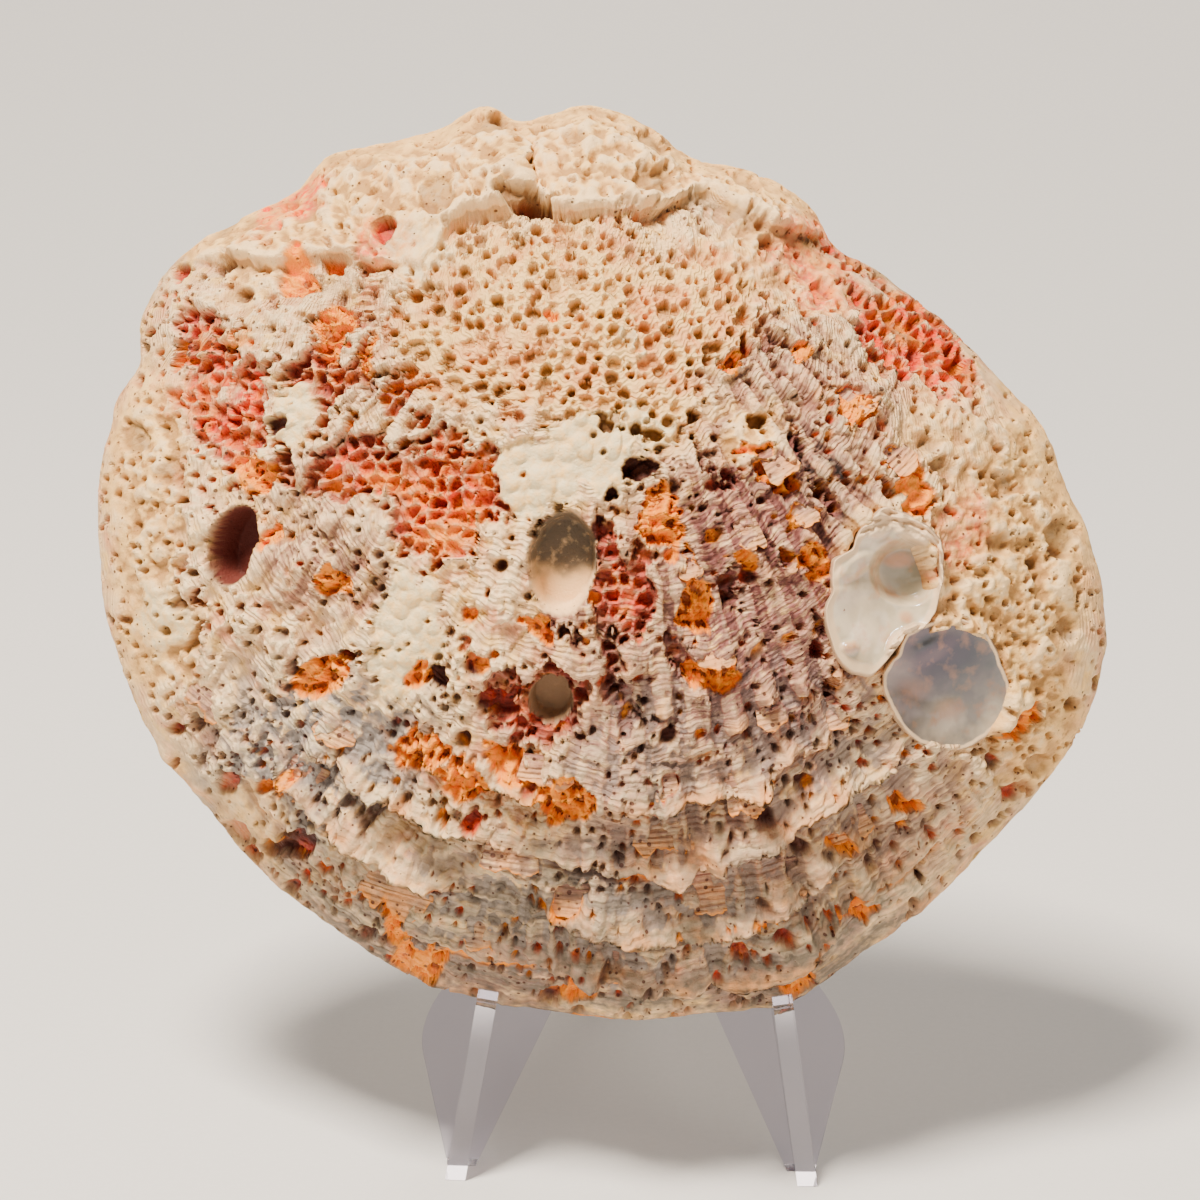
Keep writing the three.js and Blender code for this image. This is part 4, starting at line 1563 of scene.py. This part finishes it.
@dataclass
class Inside:
    """The smooth hollow inside with its hinge plate, two teeth, muscle scar and margin."""

    form: ValveForm
    plane: LeaningPlane
    squares: int = 220
    scar: Blob = Blob(-19, 2, 13, 16)
    ligament_pit: Blob = Blob(0, 53, 2.6, 6.5)
    teeth: tuple[Blob, ...] = (Blob(-9.5, 50, 3.6, 4.6), Blob(9.5, 50, 3.6, 4.6))
    sockets: tuple[Blob, ...] = (Blob(-17.5, 49.5, 3.2, 4.4), Blob(17.5, 49.5, 3.2, 4.4))

    def build(self, material: bpy.types.Material) -> None:
        """Builds the inside.

        Args:
            material: The porcelain-like material.
        """
        angle, out = disc_grid(self.squares)
        away = out * self.form.margin_distance(angle) * 0.985
        x, y = away * np.cos(angle), self.form.apex_y + away * np.sin(angle)
        reach = self.form.reach(x, y)
        z = self.form.hollow(x, y)

        # Hinge: a ligament pit between two stout teeth, each with a socket beside it
        plate = self.form.plate(x, y)
        for tooth in self.teeth:
            z = z - 1.2 * ease(1.1, 0.35, tooth.distance(x, y)) * plate
        for socket in self.sockets:
            z = z + 2.4 * ease(1.0, 0.5, socket.distance(x, y)) * plate
        z = z + 2.6 * ease(1.0, 0.3, self.ligament_pit.distance(x, y))

        from_scar = self.scar.distance(x, y)
        scar = ease(1.0, 0.9, from_scar)
        ring = ease(1.06, 0.98, from_scar) - scar
        z = z - 0.25 * scar * (1 + 0.3 * np.sin(1.4 * y)) - 0.35 * ring
        margin = ease(0.9, 0.955, reach)
        teeth = np.cos(angle * 150)
        z = z - np.minimum(z, 0.32 * margin * (0.5 + 0.5 * teeth))
        z = z + 0.25 * rough(x, y, 16.0, 201, 3) * (1 - margin)
        z = np.maximum(z, 0.02)
        placed = self.plane.to_frame(x, y, z)
        quads = grid_quads(*placed.shape[:2])[:, ::-1]
        edge = ease(0.9, 0.96, reach + 0.02 * rough(x, y, 6.0, 203, 3)) * (1 - plate)
        weights = {"edge": edge, "scar": 0.5 * scar + 0.5 * ring}
        piece = mesh_object("porcelain_hollow", placed.reshape(-1, 3), quads, None, weights)
        dress(piece, "shell_valve", material)


@dataclass(frozen=True)
class Scale:
    """One worn scale: where its root is, and its half width, length and lift, in mm."""

    x: float
    y: float
    half_width: float
    length: float
    lift: float


WORN_SCALES = [
    Scale(*row)
    for row in (
        (36.2, 28.0, 2.6, 5.5, 2.0), (42.8, 18.5, 2.2, 5.5, 1.6), (25.0, 17.8, 2.6, 5.0, 2.0),
        (28.6, 11.2, 2.0, 5.0, 2.0), (20.8, 7.5, 2.0, 5.5, 1.9), (16.5, -11.0, 2.8, 4.8, 2.0),
        (12.6, 1.5, 1.8, 3.8, 1.6), (34.0, -20.0, 2.4, 5.0, 1.9), (25.0, -20.5, 2.2, 4.5, 1.8),
        (21.0, -30.0, 3.0, 8.0, 2.4), (9.0, -31.0, 2.6, 5.0, 1.8), (-8.0, -29.5, 4.2, 4.6, 1.8),
        (-28.4, -38.5, 7.0, 15.5, 4.2), (-16.8, -53.0, 3.2, 6.5, 2.8),
        (-1.5, -48.5, 5.6, 5.6, 2.4), (9.5, -38.0, 4.6, 6.0, 2.2), (18.5, -45.5, 5.4, 7.0, 2.8),
        (29.5, -44.0, 4.6, 6.5, 2.4), (-13.0, -42.0, 4.4, 5.6, 2.0), (37.0, -37.0, 3.6, 5.0, 2.2),
        (-44.0, -31.0, 4.2, 6.5, 2.0), (-57.5, -18.0, 4.0, 7.0, 1.8), (5.0, -58.5, 4.6, 5.5, 1.8),
        (-39.0, -23.5, 3.4, 5.0, 1.6),
    )
]  # fmt: skip


@dataclass
class WornScales:
    """Stumps of the flat scales and frills that stand off the ribs, thin and ragged-edged.

    Places are as they look square-on. Each scale points away from the umbo.
    """

    outside: Outside
    scales: list[Scale]
    thickness: float = 0.45
    root_radius: float = 1.8
    rows: int = 26
    columns: int = 34

    def build(self, material: bpy.types.Material) -> None:
        """Builds all the scales as one piece.

        Args:
            material: The shell's material.
        """
        points, weights, quads = [], [], []
        total = self.rows * self.columns
        for number, scale in enumerate(self.scales):
            along, x, y, top, under = self.sheets(number, scale)
            for height, side in ((top, 0.0), (under, 1.0)):
                placed = self.outside.plane.to_frame(x, y, height)
                points.append(placed.reshape(-1, 3))
                weights.append((along.ravel(), np.full(along.size, side), x.ravel(), y.ravel()))
            face, first = grid_quads(self.rows, self.columns), 2 * total * number
            quads += [face[:, ::-1] + first, face + total + first, self.edge_quads() + first]
        along, under, x, y = (np.concatenate(part) for part in zip(*weights, strict=True))
        umbo_x, umbo_y = self.outside.umbo
        turn = np.arctan2(x - umbo_x, umbo_y - y)
        carried = {
            "growth": self.outside.growth_span - np.hypot(x - umbo_x, y - umbo_y),
            "riblet": turn / self.outside.rib_pitch * 4,
            # The under sides get painted shade through relief and depth; the peach lip on the upper
            # sides is partly their own colour, partly a painted highlight
            "relief": -0.15 - 1.2 * under,
            "lip": 0.8 * ease(0.1, 0.8, along) * (1 - under),
            "mauve": 0.9 - 0.4 * along,
            "grey": 0.3 + 0 * x,
            # Painted shade: darker towards the bottom
            "dust": 0.6 * ease(-14, -50, y),
            "depth": 0.8 * under,
            "dark": 0.8 + 0 * x,
            "orange": 0.6 * np.maximum(under, ease(0.9, 1.0, along)),
            "pins": 1.0 - under,
        }
        piece = mesh_object(
            "worn_scales", np.concatenate(points), np.concatenate(quads), None, carried
        )
        dress(piece, "shell_valve", material)

    def sheets(self, number: int, scale: Scale) -> tuple[np.ndarray, ...]:
        """Shapes one scale's upper and under side, arched across and lifted towards its end.

        Args:
            number: The scale's number, which sets how its edge is torn.
            scale: The scale.

        Returns:
            How far along each point is, its places across and up, and the heights of both sides.
        """
        form, (umbo_x, umbo_y) = self.outside.form, self.outside.umbo
        root_x, root_y = form.unseen(scale.x, scale.y)
        near = np.hypot(self.outside.x - root_x, self.outside.y - root_y) < self.root_radius
        base = float(np.median(self.outside.height[near]))
        off_x, off_y = root_x - umbo_x, root_y - umbo_y
        away = math.hypot(off_x, off_y)
        out_x, out_y = off_x / away, off_y / away
        along, aside = np.meshgrid(
            np.linspace(0, 1, self.rows), np.linspace(-1, 1, self.columns), indexing="ij"
        )
        ragged = 1 + 0.2 * rough(aside * scale.half_width + 9.0 * number, along * 0, 1.6, 401, 4)
        reach = scale.length * along * ragged * (1 - 0.22 * aside**4)
        wide = scale.half_width * aside * (0.8 + 0.2 * along)
        x = root_x + reach * out_x - wide * out_y
        y = root_y + reach * out_y + wide * out_x
        arch = (1 - 0.55 * aside**2) * scale.lift * along**1.6
        ruffle = 0.22 * rough(x, y, 1.8, 403, 3) + 0.3 * rough(x, y, 4.0, 405, 2)
        floor = form.dome(x, y) + base - 0.55 * (1 - along) - 0.5 * aside**4
        top = floor + arch + ruffle
        under = top - self.thickness * (0.35 + 0.65 * (1 - along)) * (1 - 0.5 * aside**4)
        return along, x, y, top, under

    def edge_quads(self) -> np.ndarray:
        """Lists the faces that join a scale's upper side to its under side, all round.

        Returns:
            Four point numbers a row.
        """
        rim = [(0, i) for i in range(self.columns)]
        rim += [(i, self.columns - 1) for i in range(1, self.rows)]
        rim += [(self.rows - 1, i) for i in range(self.columns - 2, -1, -1)]
        rim += [(i, 0) for i in range(self.rows - 2, 0, -1)]
        ring = np.array([row * self.columns + column for row, column in rim])
        beside, total = np.roll(ring, -1), self.rows * self.columns
        return np.stack([ring, beside, beside + total, ring + total], axis=-1)


@dataclass
class CementedShell:
    """A small pearly shell grown onto the valve, open to the front.

    Its outline, hollows and tilt are in mm, as it looks square-on.
    """

    name: str
    node: str
    outline: list[tuple[float, float]]
    middle: tuple[float, float]
    outside: Outside
    rim_height: float = 2.6
    floor_height: float = 0.5
    rim_width: float = 0.14
    seed: int = 300
    columns: int = 280
    inner_rings: int = 84
    outer_rings: int = 14
    flange: float = 0.07
    seat_drop: float = 1.8
    tilt: tuple[float, float] = (0.0, 0.0)
    ridges: list[tuple[Blob, float]] = field(default_factory=list)
    flaky: list[Blob] = field(default_factory=list)
    shaded: list[Blob] = field(default_factory=list)
    peachy: list[Blob] = field(default_factory=list)

    def build(self, material: bpy.types.Material) -> None:
        """Builds the shell from rings, from its middle out over the rim and down to its seat.

        Args:
            material: The mother of pearl.
        """
        form = self.outside.form
        knots = np.array(self.outline, float) - np.array(self.middle)
        angles = np.arctan2(knots[:, 1], knots[:, 0])
        order = np.argsort(angles)
        columns = self.columns
        turn = np.linspace(0, 2 * math.pi, columns, endpoint=False)
        limit = np.interp(
            turn, angles[order], np.hypot(*knots.T)[order], period=2 * math.pi
        )
        limit = np.convolve(np.tile(limit, 3), np.ones(5) / 5, "same")[columns : 2 * columns]
        wobble = drift(np.cos(turn) * 6 + 20, np.sin(turn) * 6 + 20, 0.8, self.seed)
        limit = limit * (1 + 0.012 * wobble)
        inside = np.linspace(0.01, 1.0, self.inner_rings)
        sizes = np.concatenate([inside, np.linspace(1.006, 1 + self.flange, self.outer_rings)])
        turns, size = np.meshgrid(turn, sizes, indexing="xy")
        x = self.middle[0] + limit[None, :] * size * np.cos(turns)
        y = self.middle[1] + limit[None, :] * size * np.sin(turns)
        spread = VIEW_DISTANCE / (VIEW_DISTANCE - form.dome(*form.unseen(*self.middle)))
        true_x = VIEW_X + (x - VIEW_X) / spread
        true_y = VIEW_Y + (y - VIEW_Y) / spread
        seat = form.dome(true_x, true_y)
        inner = np.minimum(size, 1.0)
        bowl = self.floor_height + (self.rim_height - self.floor_height) * inner**2.6
        height = bowl + self.tilt[0] * (x - self.middle[0]) + self.tilt[1] * (y - self.middle[1])
        for blob, lift in self.ridges:
            height += lift * blob.weight(x, y)
        flakes = area(self.flaky, x, y, 0.4)
        sheets = np.sin(2 * math.pi * (size * limit[None, :] / 1.1 + 0.5 * rough(x, y, 2.5, 305)))
        rim = ease(1 - self.rim_width, 1 - 0.6 * self.rim_width, inner + 0.02 * rough(x, y, 1.5, 307))
        height += flakes * (0.9 + 0.4 * sheets * rim + 1.1 * rough(x, y, 1.5, 309, 3))
        height += 0.1 * rough(x, y, 4.0, self.seed + 3, 3)
        drop = np.clip((size - 1.0) / self.flange, 0, 1)
        settled = self.seat_drop * drop**1.6
        height = height * (1 - drop**1.6) - settled + 0.25 * np.sin(9 * drop) * drop
        placed = self.outside.plane.to_frame(true_x, true_y, seat + height)
        quads = grid_quads(*placed.shape[:2], closed=True)[:, ::-1]
        weights = {
            "rim": np.maximum(np.maximum(rim, flakes), drop > 0.02),
            "shade": area(self.shaded, x, y, 0.4),
            "peach": area(self.peachy, x, y, 0.3),
        }
        points = placed.reshape(-1, 3)
        piece = mesh_object(self.name, points, quads, None, weights)
        self.close_middle(piece)
        dress(piece, self.node, material)

    def close_middle(self, piece: bpy.types.Object) -> None:
        """Fills the small hole left by the innermost ring.

        Args:
            piece: The shell's mesh object.
        """
        mesh = piece.data
        face = tuple(range(self.columns))
        cap = bpy.data.meshes.new(piece.name)
        points = [tuple(vertex.co) for vertex in mesh.vertices]
        faces = [tuple(polygon.vertices) for polygon in mesh.polygons] + [face]
        cap.from_pydata(points, [], faces)
        cap.polygons.foreach_set("use_smooth", np.ones(len(faces), dtype=bool))
        values = np.zeros(len(points), dtype=np.float32)
        for label in ("rim", "shade", "peach"):
            mesh.attributes[label].data.foreach_get("value", values)
            cap.attributes.new(label, "FLOAT", "POINT").data.foreach_set("value", values)
        piece.data = cap
        bpy.data.meshes.remove(mesh)
        cap.name = piece.name


@dataclass
class Easel:
    """The clear easel: two ribbed feet under a tall back-rest, and a back leg.

    Its sharp moulded edges are eased by a small radius, which catches the light.
    """

    edge_radius_mm: float = 0.7

    def build(self, material: bpy.types.Material) -> None:
        """Copies each moulding with eased edges.

        Args:
            material: The clear acrylic.
        """
        for node, name in (("stand_front", "moulded_easel"), ("stand_back_leg", "moulded_back_leg")):
            solid = bpy.data.objects[node]
            mesh = solid.data.copy()
            mesh.name = name
            mesh.materials.clear()
            piece = bpy.data.objects.new(name, mesh)
            piece.matrix_world = solid.matrix_world.copy()
            bpy.context.scene.collection.objects.link(piece)
            eased = piece.modifiers.new("eased_edges", "BEVEL")
            eased.width = self.edge_radius_mm * MM
            eased.segments = 3
            eased.limit_method = "ANGLE"
            eased.angle_limit = math.radians(25)
            dress(piece, node, material)


@dataclass
class Studio:
    """Plain pale floor and backdrop, soft lights, and the camera square to the easel's lean."""

    plane: LeaningPlane
    distance_mm: float = VIEW_DISTANCE
    lens_mm: float = 118.6
    roll_deg: float = 1.0

    def build(self) -> None:
        """Builds the floor, the lights and the camera."""
        self.build_floor()
        self.build_lights()
        self.build_camera()

    def build_floor(self) -> None:
        """Sweeps a floor up into a backdrop, in pale matt paper."""
        count = 40
        low = -0.0001
        path = [(y, low) for y in np.linspace(-1.6, 0.4, 9)]
        for i in range(1, count + 1):
            turn = math.pi / 2 * i / count
            path.append((0.4 + 1.4 * math.sin(turn), low + 1.4 - 1.4 * math.cos(turn)))
        path.append((1.8, 2.6))
        points = np.array([[(side * 2.6, y, z) for side in (-1, 1)] for y, z in path])
        quads = grid_quads(len(path), 2)
        floor = mesh_object("paper_sweep", points.reshape(-1, 3), quads[:, ::-1])
        paper = bpy.data.materials.new("matt_pale_paper")
        paper.use_nodes = True
        tree = paper.node_tree
        shader = tree.nodes["Principled BSDF"]
        place = add_node(tree, "ShaderNodeTexCoord").outputs["Object"]
        fibre = add_node(
            tree, "ShaderNodeTexNoise", inputs={"Vector": place, "Scale": 900.0, "Detail": 3.0}
        ).outputs["Fac"]
        tone = lay_coats(tree, "#D9D8D6", [("#E0DFDD", fibre)])
        tree.links.new(tone, shader.inputs["Base Color"])
        shader.inputs["Roughness"].default_value = 0.85
        floor.data.materials.append(paper)

    def build_lights(self) -> None:
        """Hangs one large soft light high in front, a weaker one aside, and a dim surround."""
        world = bpy.data.worlds.new("soft_surround")
        bpy.context.scene.world = world
        world.use_nodes = True
        world.node_tree.nodes["Background"].inputs["Color"].default_value = linear("#F2F4F8")
        world.node_tree.nodes["Background"].inputs["Strength"].default_value = 0.26
        aim = Vector((0.0, 0.0, 0.09))
        for name, place, size, power in (
            ("high_soft_light", (-0.3, -0.38, 1.2), 0.3, 46.0),
            ("side_soft_light", (0.9, -0.6, 0.6), 0.6, 2.5),
            ("back_soft_light", (0.2, 0.8, 0.9), 0.6, 5.0),
        ):
            data = bpy.data.lights.new(name, "AREA")
            data.shape = "SQUARE"
            data.size = size
            data.energy = power
            data.color = linear("#FFF1E0")[:3]
            light = bpy.data.objects.new(name, data)
            light.location = place
            light.rotation_euler = (aim - Vector(place)).to_track_quat("-Z", "Y").to_euler()
            bpy.context.scene.collection.objects.link(light)

    def build_camera(self) -> None:
        """Puts the camera square to the leaning valve, level but for a slight roll."""
        here = [np.array([VIEW_X]), np.array([VIEW_Y])]
        aim = self.plane.to_frame(*here, np.array([0.0]))[0]
        stand = self.plane.to_frame(*here, np.array([self.distance_mm]))[0]
        data = bpy.data.cameras.new("camera")
        data.lens = self.lens_mm
        data.sensor_width = 36.0
        data.clip_start = 0.01
        camera = bpy.data.objects.new("camera", data)
        facing = Vector(aim - stand).to_track_quat("-Z", "Y").to_matrix()
        roll = Matrix.Rotation(math.radians(self.roll_deg), 3, "Z")
        camera.matrix_world = Matrix.Translation(Vector(stand)) @ (facing @ roll).to_4x4()
        bpy.context.scene.collection.objects.link(camera)
        bpy.context.scene.camera = camera


def main() -> None:
    """Builds the valve, its cemented shells, the easel and the studio, in order."""
    logging.basicConfig(level=logging.INFO, format="%(message)s")
    form, plane = ValveForm(), LeaningPlane()
    lime = ShellLime().build()
    outside = Outside(form, plane)
    outside.build(lime)
    WornScales(outside, WORN_SCALES).build(lime)
    Inside(form, plane).build(Porcelain().build())

    upper = CementedShell(
        name="upper_pearly_shell",
        node="upper_cup_shell",
        outline=[
            (42.1, 8.9), (45.6, 7.8), (48.8, 6.2), (50.8, 4.2), (51.5, 0.5), (51.1, -3.6),
            (50.5, -6.5), (48.8, -9.1), (45.9, -10), (44.5, -12.3), (43, -14.2), (40.8, -16.4),
            (38, -15.9), (36.1, -14.2), (34.5, -10.7), (33.6, -6.8), (34.8, -3.9), (34.6, -1.1),
            (34.6, 0.6), (37.7, 2.4), (38, 4.2), (40.2, 7),
        ],
        middle=(43.0, -3.5),
        outside=outside,
        ridges=[
            (Blob(45.9, -0.8, 4.9, 4.3, -10, 1, 0.22), -2.9),
            (Blob(44.5, -5.5, 4.2, 5.0, 10, 1, 0.8), -0.9),
            (Blob(42.0, 4.4, 3.2, 1.5, 10, 1, 0.5), 0.9),
            (Blob(38.4, 0.2, 3.6, 1.2, 35, 1, 0.5), 0.8),
            (Blob(39.3, -12.0, 3.2, 3.6, 20, 1, 0.8), 0.9),
            (Blob(37.4, -12.3, 1.1, 0.8, 0, 1, 0.6), 0.8),
            (Blob(46.1, -7.5, 1.0, 0.9, 0, 1, 0.8), 0.3),
            (Blob(36.2, -5, 1.6, 3.5, 0, 1, 0.8), 0.6),
        ],
        flaky=ovals(
            (41, 7.2, 3.6, 2.4, 20), (46.8, 6.0, 4.4, 1.9, -30), (51.6, 1, 1.0, 5),
            (44.5, -11.5, 2.0, 1.0, 50), (47.4, -9.5, 2.0, 0.8, 15),
        ),
        shaded=ovals((45.9, -0.4, 4.4, 3.6, -10, 0.75, 0.4), (44, -6, 3.5, 5, 10, 0.3, 0.8)),
        peachy=ovals(
            (44.9, 1.0, 2.3, 1.1, 0, 0.7, 0.5), (37.4, -12.3, 1.2, 0.9, 0, 0.6, 0.5),
            (46.1, -7.6, 1.0, 0.9, 0, 0.5, 0.5),
        ),
    )  # fmt: skip
    white = Nacre(
        "grown_mother_of_pearl_white", "#E9D6B4", "#B9A988", "#CF8F5E", deep="#85806C", clouded=0.4
    )
    upper.build(white.build())
    lower = CementedShell(
        name="lower_pearly_shell",
        node="lower_cup_shell",
        outline=[
            (45.9, -10), (50.1, -8.3), (53.9, -7.8), (57.4, -9.1), (59.3, -11.7), (60.6, -14.8),
            (62.2, -17.7), (61.9, -20.6), (60.6, -23.8), (58, -26), (55.5, -27.4), (51.7, -27.6),
            (48.5, -26.3), (45.9, -24.1), (44, -21.2), (42.7, -18.6), (42.6, -15.8), (44.7, -13.3),
        ],
        middle=(52.2, -17.6),
        outside=outside,
        rim_height=1.9,
        floor_height=-0.1,
        rim_width=0.05,
        seed=330,
        ridges=[(Blob(49.4, -12.4, 2.8, 1.3, 30, 1, 0.9), 0.6), (Blob(50, -17, 5, 4), -0.3)],
        shaded=ovals((52, -13, 9, 6, -10, 1.0, 0.7), (47, -19, 5, 6, 0, 0.7, 0.7)),
        peachy=ovals((53, -21.5, 2, 1.5, 0, 0.6, 0.7), (47.2, -18.3, 2.2, 1.6, 0, 0.5, 0.7)),
    )  # fmt: skip
    # A darker copy of the mother of pearl: partly the shell's own grey, partly a painted dark
    # reflection
    grey = Nacre(
        "grown_mother_of_pearl_grey", "#B5A68F", "#6E665B", "#A27650", deep="#433F3B", clouded=0.6
    )
    lower.build(grey.build())

    Easel().build(ClearAcrylic().build())
    Studio(plane).build()


if __name__ == "__main__":
    main()
